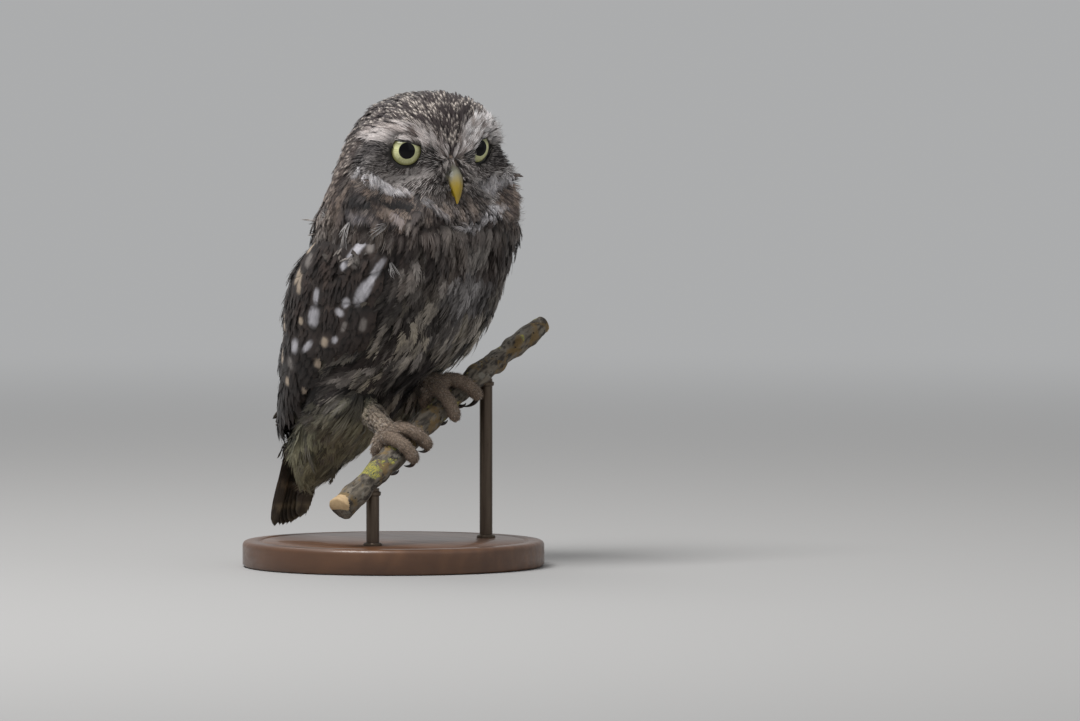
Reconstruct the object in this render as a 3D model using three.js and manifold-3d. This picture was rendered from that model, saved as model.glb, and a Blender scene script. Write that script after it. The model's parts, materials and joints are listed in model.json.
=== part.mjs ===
// A still, life-size little owl on a cut length of apple branch, held by a plain display stand.
// Millimetres, +Z up. The owl faces -Y and its left side is +X.
// The origin is the middle of the underside of the stand's base.

import * as THREE from 'three'
import { mergeVertices } from 'three/addons/utils/BufferGeometryUtils.js'
import Module from 'manifold-3d'

const wasm = await Module()
wasm.setup()

// Driving dimensions
const gap = 0.3 // clearance between touching pieces
const roundness = { body: 2.6, throat: 3.5, nape: 2.15 } // exponents of the rounded sections
const perchY = -20 // the feet and the perch lie this far in front of the base's middle

// The body with its folded wings: height, half width, depth before and behind its widest line,
// and that line's place
const bodyStations = [
  [36, 6, 5, 5, 56],
  [45.5, 14, 13, 13, 49.5],
  [54.5, 19, 18.5, 18.5, 44.5],
  [63, 23.5, 25, 25, 38.7],
  [71.5, 27, 31, 31, 31.3],
  [80.5, 31.5, 32.5, 32.5, 26.6],
  [89.5, 35.5, 35.5, 35.5, 20.6],
  [102.5, 41, 41, 41, 10.5],
  [115.5, 44.5, 44.3, 44.3, 3.6],
  [126, 46.5, 45.3, 45.3, -1.7],
  [136, 48, 44.5, 44.5, -6.3],
  [150, 48, 40.4, 40.4, -13.8],
  [158, 48, 37, 43.5, -18.5],
  [166.5, 47, 32, 43, -21.5],
  [174, 44.5, 25.5, 40, -24],
  [183, 41, 23, 39, -24.5],
  [192, 36.5, 21, 36.5, -24.5],
  [197, 30, 17, 30, -24.5]
]

const headCentre = new THREE.Vector3(-5, -24.5, 186)
const headTurn = THREE.MathUtils.degToRad(-16) // towards the owl's right
const headSize = { side: 38, front: 25, back: 38, up: 34, down: 32 }
const eyeSize = { ball: 9.5, iris: 6.8, apart: 20, forward: 16.4, up: 7.8 }
const eyeSplay = THREE.MathUtils.degToRad(23)
const eyeDip = THREE.MathUtils.degToRad(4)
const headSquareness = 2.25 // exponent of the head's rounded form
const lids = { radius: 7.7, roll: 1.35, wider: 0.08, browDrop: 0.42, browRise: 0.9 }
const faceHollows = [{ radius: 14, depth: 1, drop: 0 }, { radius: 27, depth: 0.5, drop: 6 }]

// The bill's two parts as curves in the head's middle plane: places forward of and above its centre
const bill = {
  upper: { path: [[14, -3], [25, 0.5], [30.4, -8], [28.6, -16.8]], halfWidth: 5.2, halfHeight: 5 },
  lower: { path: [[14, -9], [22, -9.5], [25.4, -12], [25.9, -14.8]], halfWidth: 3.8, halfHeight: 2.3 },
  tip: 0.35,
  taper: 1.5
}
const nostrils = { size: [1, 1.3, 0.8], left: 4.4, forward: 24.6, up: -2.4 }

const neckTop = { height: 165.5, slope: 0.07 }
const neckFoot = { height: 155.5, slope: 0.05 }

// The folded wing on the body's side: height, then the angles from the nose of its two edges
const wingRows = [
  [159, 76, 118],
  [150, 62, 150],
  [125, 60, 160],
  [106, 60, 168],
  [96, 82, 172],
  [78, 90, 176],
  [66, 96, 177],
  [58, 116, 177]
]
const wingDepth = 4.6
const wingGrid = { rows: 14, cols: 6 }
const wingPocket = { outer: 4, spread: 0.8 } // cuts the wing's place out of the torso
const wingCore = { outer: -2.3, foot: 69 } // the vanes stand on this core and pass its foot

// Tiers of the wing's vanes from the shoulder down. Roots and tips run from the front to the back,
// each place being a height and an angle from the nose, through a middle place.
const wingTiers = [
  { name: 'primaries', count: 5, roots: [[100, 92], [101, 124], [98, 163]],
    tips: [[86, 92], [68, 112], [58.5, 162]], width: 14, lift: -0.9 },
  { name: 'secondaries', count: 5, roots: [[119, 68], [121, 108], [121, 154]],
    tips: [[100, 76], [92, 114], [82, 166]], width: 16, lift: -0.5 },
  { name: 'greater coverts', count: 4, roots: [[130, 69], [131, 100], [132, 134]],
    tips: [[110, 68], [110, 99], [108, 134]], width: 17, lift: -0.1 },
  { name: 'median coverts', count: 4, roots: [[143, 70], [143, 90], [142, 114]],
    tips: [[125, 69], [123, 89], [122, 112]], width: 17, lift: 0.3 },
  { name: 'lower scapulars', count: 3, roots: [[143, 110], [138, 130], [128, 154]],
    tips: [[127, 104], [118, 130], [105, 160]], width: 17, lift: 0.7 },
  { name: 'upper scapulars', count: 4, roots: [[153, 84], [153, 104], [151, 134]],
    tips: [[140, 80], [138, 102], [131, 134]], width: 18, lift: 1.1 }
]
const vane = { thickness: 0.58, roll: 0.065, sunk: -3.3, point: 0.3, outline: [0.6, 0.95, 1, 0.55] }
const vary = { place: 1, lift: 0.05, tailTip: 0.5 } // random spread of the vanes
const rump = { top: 98, tip: 40, halfAngle: 14 } // strip down the back between the wings

// The closed tail: its back face passes dorsalY at the height dorsalZ and leans back by slope
const tail = { root: 92, tip: 20, dorsalY: 59.2, dorsalZ: 63, slope: 0.19, width: 30, thickness: 4.6 }
const tailShape = { narrow: 0.72, open: 0.28, camber: 0.8, rounding: 25, rounded: 0.8 }
const rectrices = { pairs: 4, root: 84, width: 11, layer: 1.1, core: 76, roll: 0.05, steps: 4.5 }

const perch = { radius: 5.2, taper: 0.008, mid: 66.7, slope: 0.61, sag: 0.0008, from: -56, to: 80 }
const perchWaves = { bend: 0.9, knots: 0.35, ripple: 0.25, flutes: 0.05 }

// Feet on the perch: places along X, then toes 1 and 4 behind the perch and 2 and 3 before it
const feet = { right: -18, left: 17, lean: -0.35, size: [6.2, 6, 4.2], rise: 3.6 }
const toe = { rootRadius: 3.4, tipRadius: 2.9, pad: 0.18, pads: 5, start: 0.25, turn: 2.05, rounded: 0.88 }
const claw = { radius: 1.4, start: 2.2, turn: 0.85, taper: 0.86, reach: 1.3 }
const toeTurns = { 1: -1, 2: 1, 3: 1, 4: -1 }
const toeSpread = {
  right: { 1: [3.4, 7], 2: [-2.6, -3.5], 3: [3.2, 6.5], 4: [-3.4, -6] },
  left: { 1: [-3.4, -6], 2: [3.4, 7.5], 3: [-3.4, -9.5], 4: [3.4, 7] }
}
const heels = { right: new THREE.Vector3(-19, 10, 71), left: new THREE.Vector3(18, 8, 84) }
const tarsus = { top: 5.4, narrower: 1.1, bow: 1.6 }
const thighs = {
  right: { middle: new THREE.Vector3(-20, 9, 79), size: new THREE.Vector3(11, 14, 13) },
  left: { middle: new THREE.Vector3(19, 7, 90), size: new THREE.Vector3(11, 14, 12) }
}

const stand = { baseRadius: 70, baseHeight: 12, edge: 1.6, rodRadius: 3, socket: 6, low: -36, high: 42 }

// Materials
const paint = (color, roughness) => new THREE.MeshStandardMaterial({ color, roughness, metalness: 0 })
const materials = {
  crown: paint('#5b5048', 0.9),
  breast: paint('#8b8174', 0.9),
  wing: paint('#43352d', 0.8),
  tail: paint('#5a4a3e', 0.8),
  leg: paint('#8e7f6c', 0.9),
  eye: paint('#d8d58c', 0.15),
  bill: paint('#b9a53a', 0.45),
  claw: paint('#191a1f', 0.4),
  bark: paint('#6d6459', 0.9),
  wood: paint('#6b4a31', 0.5),
  rod: paint('#4a4138', 0.4)
}

// A shape's closed solid, turned outwards
function toSolid(geometry) {
  const bare = geometry.clone()
  bare.deleteAttribute('normal')
  bare.deleteAttribute('uv')
  const merged = mergeVertices(bare, 1e-4)
  const points = new Float32Array(merged.attributes.position.array)
  const corners = new Uint32Array(merged.index.array)
  if (signedVolume(points, corners) < 0) {
    for (let i = 0; i < corners.length; i += 3) {
      const first = corners[i]
      corners[i] = corners[i + 1]
      corners[i + 1] = first
    }
  }
  return new wasm.Manifold(new wasm.Mesh({ numProp: 3, vertProperties: points, triVerts: corners }))
}

function signedVolume(points, corners) {
  const corner = (i) => new THREE.Vector3().fromArray(points, 3 * corners[i])
  let volume = 0
  for (let i = 0; i < corners.length; i += 3) {
    volume += corner(i).dot(corner(i + 1).cross(corner(i + 2)))
  }
  return volume
}

function toGeometry(solid) {
  const mesh = solid.getMesh()
  const geometry = new THREE.BufferGeometry()
  geometry.setAttribute('position', new THREE.BufferAttribute(new Float32Array(mesh.vertProperties), 3))
  geometry.setIndex(new THREE.BufferAttribute(new Uint32Array(mesh.triVerts), 1))
  return geometry
}

const join = (solids) => solids.reduce((whole, next) => whole.add(next))
const cut = (solid, ...tools) => tools.reduce((rest, tool) => rest.subtract(tool), solid)

// The largest closed surface of a solid, without sealed hollows or loose scraps
function largest(solid) {
  const shells = solid.decompose()
  return shells.reduce((best, next) => (next.volume() > best.volume() ? next : best))
}

// A three.js shape with each point moved by place
function shaped(geometry, place) {
  const points = geometry.attributes.position
  const point = new THREE.Vector3()
  for (let i = 0; i < points.count; i++) {
    point.fromBufferAttribute(points, i)
    const moved = place(point)
    points.setXYZ(i, moved.x, moved.y, moved.z)
  }
  return geometry
}

// A closed body through rings: ring(t, angle) gives the rim and middle(t) the ring's middle
function loft(rows, sides, middle, ring) {
  const shape = new THREE.CylinderGeometry(1, 1, 1, sides, rows)
  return toSolid(shaped(shape, (p) => {
    const t = 0.5 - p.y
    const rim = Math.hypot(p.x, p.z) > 0.5
    return rim ? ring(t, Math.atan2(p.x, p.z)) : middle(t)
  }))
}

function blob(detail, radii, centre, place = (p) => p) {
  const ball = new THREE.IcosahedronGeometry(1, detail)
  return toSolid(shaped(ball, (p) => place(p.clone().multiply(radii)).add(centre)))
}

// A thin closed plate whose two faces are split alike; place(t, s, face) with face 1 outside, -1 inside
function plate(rows, cols, place) {
  const points = []
  const corners = []
  const layer = (rows + 1) * (cols + 1)
  const at = (row, col, face) => row * (cols + 1) + col + (face > 0 ? 0 : layer)
  for (const face of [1, -1]) {
    for (let row = 0; row <= rows; row++) {
      for (let col = 0; col <= cols; col++) {
        points.push(...place(row / rows, (2 * col) / cols - 1, face).toArray())
      }
    }
  }
  for (let row = 0; row < rows; row++) {
    for (let col = 0; col < cols; col++) {
      for (const face of [1, -1]) {
        const a = at(row, col, face)
        const b = at(row, col + 1, face)
        const c = at(row + 1, col + 1, face)
        const d = at(row + 1, col, face)
        corners.push(...(face > 0 ? [a, b, c, a, c, d] : [a, c, b, a, d, c]))
      }
    }
  }
  const wall = (r0, c0, r1, c1) => {
    const [a, b] = [at(r0, c0, 1), at(r1, c1, 1)]
    const [c, d] = [at(r0, c0, -1), at(r1, c1, -1)]
    corners.push(b, a, c, b, c, d)
  }
  for (let col = 0; col < cols; col++) {
    wall(0, col, 0, col + 1)
    wall(rows, col + 1, rows, col)
  }
  for (let row = 0; row < rows; row++) {
    wall(row + 1, 0, row, 0)
    wall(row, cols, row + 1, cols)
  }
  const geometry = new THREE.BufferGeometry()
  geometry.setAttribute('position', new THREE.Float32BufferAttribute(points, 3))
  geometry.setIndex(corners)
  return toSolid(geometry)
}

// One feather's vane: a thin rounded plate along way(t); settle puts a point on its surface at an offset
function feather(way, settle, width, rise, roll) {
  const rows = vane.outline.length - 1
  return plate(rows, 2, (t, s, face) => {
    const { point, out } = way(t)
    const ahead = way(t + 0.02).point.sub(way(t - 0.02).point).normalize()
    const across = ahead.clone().cross(out).normalize()
    const half = (width / 2) * vane.outline[Math.round(t * rows)]
    point.addScaledVector(across, s * half)
    if (t === 1) point.addScaledVector(ahead, -vane.point * width * Math.abs(s))
    return settle(point, rise(t) + roll * s * half - (face > 0 ? 0 : vane.thickness))
  })
}

// The same run of small random numbers each time
function randomRun(seed) {
  let state = seed
  return (spread) => {
    state = (state * 1664525 + 1013904223) % 4294967296
    return spread * (state / 2147483648 - 1)
  }
}

// A smooth value between the rows of a table whose first column is the height
function between(table, height, column) {
  const order = table[0][0] < table[table.length - 1][0] ? table : [...table].reverse()
  const last = order.length - 1
  const level = THREE.MathUtils.clamp(height, order[0][0], order[last][0])
  let i = 0
  while (i < last - 1 && level > order[i + 1][0]) i++
  const row = (k) => order[THREE.MathUtils.clamp(k, 0, last)]
  const slope = (k) => (row(k + 1)[column] - row(k - 1)[column]) / (row(k + 1)[0] - row(k - 1)[0])
  const step = order[i + 1][0] - order[i][0]
  const t = (level - order[i][0]) / step
  const [h1, h2] = [t * t * (3 - 2 * t), t * (1 - t) * (1 - t) * step]
  const h3 = -t * t * (1 - t) * step
  return order[i][column] * (1 - h1) + order[i + 1][column] * h1 + slope(i) * h2 + slope(i + 1) * h3
}

// The body's outer form at a height and an angle from the nose. Above the shoulders it turns with the head.
const rounded = (c, exponent) => Math.sign(c) * Math.abs(c) ** (2 / exponent)

function bodyForm(height, angle) {
  const [side, front, back, middle] = [1, 2, 3, 4].map((column) => between(bodyStations, height, column))
  const turned = THREE.MathUtils.smoothstep(height, 150, 174)
  const ahead = Math.cos(angle) > 0
  const end = ahead ? roundness.throat : roundness.nape
  const exponent = THREE.MathUtils.lerp(roundness.body, end, turned)
  const across = side * rounded(Math.sin(angle), exponent)
  const backward = -(ahead ? front : back) * rounded(Math.cos(angle), exponent)
  const point = new THREE.Vector3(across, backward, 0)
  point.applyAxisAngle(new THREE.Vector3(0, 0, 1), headTurn * turned)
  return point.add(new THREE.Vector3(headCentre.x * turned, middle, height))
}

// The angle from the nose at which the body's form passes a point
function bodyAngle(point) {
  const [side, front, back, middle] = [1, 2, 3, 4].map((column) => between(bodyStations, point.z, column))
  const turned = THREE.MathUtils.smoothstep(point.z, 150, 174)
  const local = new THREE.Vector3(point.x - headCentre.x * turned, point.y - middle, 0)
  local.applyAxisAngle(new THREE.Vector3(0, 0, 1), -headTurn * turned)
  const ahead = local.y < 0
  const end = ahead ? roundness.throat : roundness.nape
  const exponent = THREE.MathUtils.lerp(roundness.body, end, turned) / 2
  const across = Math.sign(local.x) * Math.abs(local.x / side) ** exponent
  const forward = Math.sign(-local.y) * Math.abs(local.y / (ahead ? front : back)) ** exponent
  return Math.atan2(across, forward)
}

function bodyNormal(height, angle) {
  const small = 0.02
  const across = bodyForm(height, angle + small).sub(bodyForm(height, angle - small))
  const up = bodyForm(height + 1, angle).sub(bodyForm(height - 1, angle))
  return across.cross(up).normalize()
}

const bodyPoint = (height, angle, offset) =>
  bodyForm(height, angle).addScaledVector(bodyNormal(height, angle), offset)

function bodySolid() {
  const [low, high] = [bodyStations[0][0], bodyStations[bodyStations.length - 1][0]]
  const height = (t) => high + (low - high) * t
  const middle = (t) => new THREE.Vector3(0, between(bodyStations, height(t), 4), height(t))
  return loft(20, 28, middle, (t, angle) => bodyForm(height(t), Math.PI - angle))
}

// From the head's own frame, face to -Y, to its place
const onHead = (p) => p.clone().applyAxisAngle(new THREE.Vector3(0, 0, 1), headTurn).add(headCentre)
const headPoint = (left, forward, up) => onHead(new THREE.Vector3(left, -forward, up))

function headForm() {
  const ball = new THREE.IcosahedronGeometry(1, 5)
  return toSolid(shaped(ball, (d) => {
    const deep = d.y < 0 ? headSize.front : headSize.back
    const tall = d.z > 0 ? headSize.up : headSize.down
    const terms = [d.x / headSize.side, d.y / deep, d.z / tall].map((q) => Math.abs(q) ** headSquareness)
    const reach = terms.reduce((sum, q) => sum + q) ** (-1 / headSquareness)
    return onHead(d.clone().multiplyScalar(reach))
  }))
}

// A slanting slab below the plane z = height + slope * y
function below(plane, lower = 0) {
  const half = 150
  const slab = new THREE.BoxGeometry(2 * half, 2 * half, 2 * half)
  return toSolid(shaped(slab, (p) => {
    const top = plane.height - lower + plane.slope * p.y
    return new THREE.Vector3(p.x, p.y, p.z > 0 ? top : top - 2 * half)
  }))
}

// Eyes, each in a hollow of the face under a ring of lids
function eyeParts(side) {
  const iris = headPoint(side * eyeSize.apart, eyeSize.forward, eyeSize.up)
  const look = new THREE.Vector3(side * Math.sin(eyeSplay), -Math.cos(eyeSplay), -Math.sin(eyeDip))
  look.applyAxisAngle(new THREE.Vector3(0, 0, 1), headTurn).normalize()
  const sunk = Math.sqrt(eyeSize.ball ** 2 - eyeSize.iris ** 2)
  const centre = iris.clone().addScaledVector(look, -sunk)
  const ball = (grow) => {
    const radius = eyeSize.ball + grow
    return blob(3, new THREE.Vector3(radius, radius, radius), centre)
  }
  const hollows = faceHollows.map(({ radius, depth, drop }) => {
    const middle = iris.clone().addScaledVector(look, radius - depth)
    middle.z -= drop
    return blob(2, new THREE.Vector3(radius, radius, radius), middle)
  })
  const turn = new THREE.Quaternion().setFromUnitVectors(new THREE.Vector3(0, 0, 1), look)
  const ring = new THREE.TorusGeometry(lids.radius, lids.roll, 5, 16)
  const lid = toSolid(shaped(ring, (p) => {
    const brow = Math.max(0, p.y / lids.radius)
    const wide = p.x * (1 + lids.wider * brow)
    const high = p.y * (1 - lids.browDrop * brow * brow)
    return new THREE.Vector3(wide, high, p.z + lids.browRise * brow).applyQuaternion(turn).add(iris)
  }))
  return { ball, lid, hollows }
}

// One part of the bill, a bent tapering loft
function billForm({ path, halfWidth, halfHeight }, grow) {
  const curve = new THREE.CubicBezierCurve3(...path.map(([forward, up]) => headPoint(0, forward, up)))
  const left = headPoint(1, 0, 0).sub(headCentre)
  const size = (from, t) => from + (bill.tip - from) * t ** bill.taper + grow
  return loft(8, 8, (t) => curve.getPoint(t), (t, angle) => {
    const out = curve.getTangent(t).cross(left).normalize()
    return curve.getPoint(t)
      .addScaledVector(left, size(halfWidth, t) * Math.cos(angle))
      .addScaledVector(out, size(halfHeight, t) * Math.sin(angle))
  })
}

function nostril(side) {
  const centre = headPoint(side * nostrils.left, nostrils.forward, nostrils.up)
  return blob(1, new THREE.Vector3(...nostrils.size), centre)
}

// The folded wing as a curved slab on the body's side, from its outer to its inner offset
const degree = Math.PI / 180

// The angles of the wing's two edges at a height, straight between the slab's rows
function wingEdges(height) {
  const [top, tip] = [wingRows[0][0], wingRows[wingRows.length - 1][0]]
  const place = THREE.MathUtils.clamp((top - height) / (top - tip), 0, 1) * wingGrid.rows
  const row = Math.min(Math.floor(place), wingGrid.rows - 1)
  const level = (k) => top + ((tip - top) * k) / wingGrid.rows
  return [1, 2].map((column) => THREE.MathUtils.lerp(
    between(wingRows, level(row), column), between(wingRows, level(row + 1), column), place - row))
}

function wingSlab(side, outer, inner, spread) {
  const [top, tip] = [wingRows[0][0], wingRows[wingRows.length - 1][0]]
  return plate(wingGrid.rows, wingGrid.cols, (t, s, face) => {
    const height = top + (tip - top) * t
    const [front, back] = wingEdges(height)
    const wider = Math.abs(s) === 1 ? spread * s : 0
    const higher = t === 0 ? spread : t === 1 ? -spread : 0
    const angle = side * (front + (back - front) * (s + 1) / 2 + wider) * degree
    return bodyPoint(height + higher, angle, face > 0 ? outer : inner)
  })
}

// A place on a line through three places
function along(places, t) {
  const [start, middle, end] = places
  const weights = [(1 - t) * (1 - 2 * t), 4 * t * (1 - t), t * (2 * t - 1)]
  return [0, 1].map((k) => start[k] * weights[0] + middle[k] * weights[1] + end[k] * weights[2])
}

function wingVanes(side) {
  const random = randomRun(side > 0 ? 11 : 7)
  return wingTiers.flatMap(({ count, roots, tips, width, lift }) =>
    Array.from({ length: count }, (_, k) => {
      const root = along(roots, k / (count - 1))
      const tip = along(tips, k / (count - 1))
      const [footTip, turnTip] = tip.map((place) => place + random(vary.place))
      const top = lift + random(vary.lift)
      const way = (t) => {
        const height = root[0] + (footTip - root[0]) * t
        const angle = side * (root[1] + (turnTip - root[1]) * t) * degree
        return { point: bodyPoint(height, angle, 0), out: bodyNormal(height, angle) }
      }
      const rise = (t) => vane.sunk + (top - vane.sunk) * Math.sin(Math.min(t * 1.35, 1) * Math.PI / 2)
      const settle = (point, offset) => {
        const height = Math.min(point.z, neckFoot.height + neckFoot.slope * point.y - 3 * gap)
        const [front, back] = wingEdges(height)
        const angle = THREE.MathUtils.clamp(side * bodyAngle(point) / degree, front, back)
        return bodyPoint(height, side * angle * degree, offset)
      }
      return feather(way, settle, width, rise, side * vane.roll)
    }))
}

function wingSolid(side, clear) {
  const foot = below({ height: wingCore.foot, slope: 0 })
  const core = wingSlab(side, wingCore.outer, -wingDepth, 0).subtract(foot)
  return join([core.intersect(clear), ...wingVanes(side)])
}

// The strip down the back between the wings' tips
function rumpSlab(outer, inner) {
  return plate(8, 4, (t, s, face) => {
    const height = rump.top + (rump.tip - rump.top) * t
    return bodyPoint(height, (180 + rump.halfAngle * s) * degree, face > 0 ? outer : inner)
  })
}

// The tail's back face at a height
const dorsal = (height) => tail.dorsalY + (tail.dorsalZ - height) * tail.slope

// The closed tail as a slab
function tailSlab(grow) {
  const [top, tip] = [tail.root + grow, tail.tip - grow]
  return plate(8, 4, (t, s, face) => {
    const height = top + (tip - top) * t
    const open = tailShape.narrow + tailShape.open * Math.sin(Math.PI * t ** 0.8)
    const half = (tail.width / 2) * open + grow
    const back = dorsal(height) - tailShape.camber * s * s
    const y = face > 0 ? back + grow : back - tail.thickness - grow
    const corner = tailShape.rounding * s * s * Math.max(0, t - tailShape.rounded)
    return new THREE.Vector3(half * s, y, height + corner)
  })
}

// Tail feathers in two shingled halves, the middle pair nearest the back, on a core at their roots
function tailSolid() {
  const random = randomRun(3)
  const out = new THREE.Vector3(0, 1, tail.slope).normalize()
  const settle = (point, offset) => point.addScaledVector(out, offset)
  const feathers = []
  for (let pair = 0; pair < rectrices.pairs; pair++) {
    for (const side of [-1, 1]) {
      const outward = pair / (rectrices.pairs - 1)
      const [first, last] = [1.5, (tail.width - rectrices.width) / 2]
      const root = side * (first + 5 * outward)
      const tip = side * (first + (last - first) * outward)
      const foot = tail.tip + 0.6 + rectrices.steps * outward * outward + random(vary.tailTip)
      const way = (t) => {
        const height = rectrices.root + (foot - rectrices.root) * t
        const across = root + (tip - root) * Math.sin((t * Math.PI) / 2)
        return { point: new THREE.Vector3(across, dorsal(height) - 0.1, height), out }
      }
      const rise = () => -pair * rectrices.layer
      feathers.push(feather(way, settle, rectrices.width, rise, rectrices.roll * side))
    }
  }
  const core = tailSlab(0).subtract(below({ height: rectrices.core, slope: 0 }))
  return join([core, ...feathers])
}

// The cut length of branch, along X and rising to the owl's left
const perchHeight = (x) => perch.mid + perch.slope * x - perch.sag * x * x
const perchWay = (x) => new THREE.Vector3(x, perchY + perchWaves.bend * Math.sin(x * 0.07), perchHeight(x))

function perchRadius(x) {
  const waves = perchWaves.knots * Math.sin(x * 0.21) + perchWaves.ripple * Math.sin(x * 0.53 + 1)
  return perch.radius - perch.taper * x + waves
}

function perchSolid(grow) {
  const place = (t) => perch.from - grow + (perch.to - perch.from + 2 * grow) * t
  return loft(18, 10, (t) => perchWay(place(t)), (t, angle) => {
    const x = place(t)
    const forward = perchWay(x + 1).sub(perchWay(x - 1)).normalize()
    const side = new THREE.Vector3(0, 1, 0)
    const up = forward.clone().cross(side).normalize()
    const radius = perchRadius(x) * (1 + perchWaves.flutes * Math.sin(3 * angle + x * 0.1)) + grow
    return perchWay(x)
      .addScaledVector(side, radius * Math.cos(angle))
      .addScaledVector(up, radius * Math.sin(angle))
  })
}

// A place round the perch, its turn measured from the top and forwards
function gripPoint(x, turn, reach) {
  const axis = perchWay(x + 1).sub(perchWay(x - 1)).normalize()
  const forward = new THREE.Vector3(0, -1, 0)
  const up = forward.clone().cross(axis).normalize()
  const out = up.multiplyScalar(Math.cos(turn)).addScaledVector(forward, Math.sin(turn))
  return perchWay(x).addScaledVector(out, reach)
}

// A loft along a way round the perch
function gripForm(rows, sides, way, radius) {
  return loft(rows, sides, way, (t, angle) => {
    const ahead = way(Math.min(t + 0.02, 1)).sub(way(Math.max(t - 0.02, 0))).normalize()
    const out = ahead.clone().cross(new THREE.Vector3(1, 0, perch.slope)).normalize()
    const across = out.clone().cross(ahead)
    return way(t)
      .addScaledVector(across, radius(t) * Math.cos(angle))
      .addScaledVector(out, radius(t) * Math.sin(angle))
  })
}

function toeWay(side, number) {
  const [root, tip] = toeSpread[side][number]
  const away = toeTurns[number]
  const reach = perch.radius + toe.rootRadius + 0.2
  return (t) => {
    const turn = away * (toe.start + toe.turn * t) + feet.lean
    const lift = away > 0 ? 2.6 * t * t : 1.2 * t * t
    return gripPoint(feet[side] + root + (tip - root) * t, turn, reach + lift)
  }
}

function toeSolid(side, number, grow) {
  const radius = (t) => {
    const pad = toe.pad * Math.sin(t * Math.PI * toe.pads)
    const past = Math.max(0, t - toe.rounded) / (1.015 - toe.rounded)
    const end = Math.sqrt(1 - past * past)
    return (toe.rootRadius + (toe.tipRadius - toe.rootRadius) * t + pad) * end + grow
  }
  const way = toeWay(side, number)
  const longer = 1 + grow / 15
  return gripForm(6, 6, (t) => way(t * longer), radius)
}

function clawSolid(side, number) {
  const [, tip] = toeSpread[side][number]
  const away = toeTurns[number]
  const start = perch.radius + toe.rootRadius + (away > 0 ? 2.4 : 1)
  const inward = side === 'left' && away > 0 ? -0.5 * tip : 0 // these two claws meet below the perch
  const way = (t) => {
    const turn = away * (claw.start + claw.turn * t) + feet.lean
    const reach = start - (start - perch.radius - claw.reach) * t ** 1.4
    return gripPoint(feet[side] + tip + inward * t, turn, reach)
  }
  return gripForm(5, 5, way, (t) => claw.radius * (1 - claw.taper * t))
}

const footMiddle = (side) => gripPoint(feet[side], feet.lean, perch.radius + feet.rise)

function footSolid(side, grow) {
  const radii = new THREE.Vector3(...feet.size).addScalar(grow)
  const tilt = Math.atan(perch.slope)
  return blob(2, radii, footMiddle(side), (p) => p.applyAxisAngle(new THREE.Vector3(0, 1, 0), -tilt))
}

function tarsusSolid(side, grow) {
  const end = footMiddle(side).add(new THREE.Vector3(0, 0, 1.2))
  const start = heels[side]
  const bow = (t) => new THREE.Vector3(0, 0, tarsus.bow * Math.sin(Math.PI * t))
  const way = (t) => start.clone().lerp(end, t).add(bow(t))
  return gripForm(4, 8, way, (t) => tarsus.top - tarsus.narrower * t + grow)
}

const thighSolid = (side, grow) =>
  blob(2, thighs[side].size.clone().addScalar(grow), thighs[side].middle)

// Stand: a round base and two rods up to the perch
function standBase() {
  const { baseRadius, baseHeight, edge } = stand
  const profile = [[0, 0], [baseRadius, 0], [baseRadius, baseHeight - edge]]
  for (let k = 1; k <= 3; k++) {
    const turn = (k * Math.PI) / 6
    profile.push([baseRadius - edge * (1 - Math.cos(turn)), baseHeight - edge * (1 - Math.sin(turn))])
  }
  profile.push([0, baseHeight])
  const lathe = new THREE.LatheGeometry(profile.map(([x, y]) => new THREE.Vector2(x, y)), 32)
  return toSolid(lathe.rotateX(Math.PI / 2))
}

function rod(x, grow) {
  const [foot, top] = [stand.baseHeight - stand.socket - grow, perchHeight(x)]
  const shaft = new THREE.CylinderGeometry(stand.rodRadius + grow, stand.rodRadius + grow, top - foot, 16)
  return toSolid(shaft.rotateX(Math.PI / 2).translate(x, perchWay(x).y, (foot + top) / 2))
}

// Assembly
const group = new THREE.Group()

function addNode(name, solid, material) {
  const mesh = new THREE.Mesh(toGeometry(largest(solid)), material)
  mesh.name = name
  group.add(mesh)
}

const sides = { right: -1, left: 1 }
const sideNames = Object.keys(sides)
const whole = join([bodySolid(), headForm()])
const eyes = { right: eyeParts(-1), left: eyeParts(1) }
const perchClear = perchSolid(gap)
const tailClear = tailSlab(gap)
const wingClear = sideNames.map((side) =>
  wingSlab(sides[side], wingPocket.outer, -wingDepth - gap, wingPocket.spread))
const rumpClear = rumpSlab(wingPocket.outer, -wingDepth - gap)

// Head, with the eyes in hollows of the face and the bill between them
const billClear = [billForm(bill.upper, gap), billForm(bill.lower, gap)]
let head = whole.subtract(below(neckTop))
for (const side of sideNames) head = cut(head, ...eyes[side].hollows)
for (const side of sideNames) head = cut(head.add(eyes[side].lid), eyes[side].ball(gap))
addNode('head', cut(head, ...billClear), materials.crown)
for (const side of sideNames) addNode(`eye_${side}`, eyes[side].ball(0), materials.eye)
addNode('bill_upper', cut(billForm(bill.upper, 0), nostril(1), nostril(-1)), materials.bill)
addNode('bill_lower', cut(billForm(bill.lower, 0), billClear[0]), materials.bill)

// Neck and torso
const neck = cut(whole, below(neckFoot)).intersect(below(neckTop, gap))
addNode('neck', neck, materials.breast)
const legClear = sideNames.flatMap((side) =>
  [thighSolid, tarsusSolid, footSolid].map((solid) => solid(side, gap)))
const torso = whole.intersect(below(neckFoot, gap))
const torsoClear = [...wingClear, rumpClear, tailClear, perchClear, ...legClear]
addNode('torso', cut(torso, ...torsoClear), materials.breast)

// Wings and tail
const neckClear = below(neckFoot, gap)
for (const side of sideNames) {
  addNode(`wing_${side}`, wingSolid(sides[side], neckClear), materials.wing)
}
addNode('tail', cut(tailSolid(), ...wingClear), materials.tail)

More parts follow.
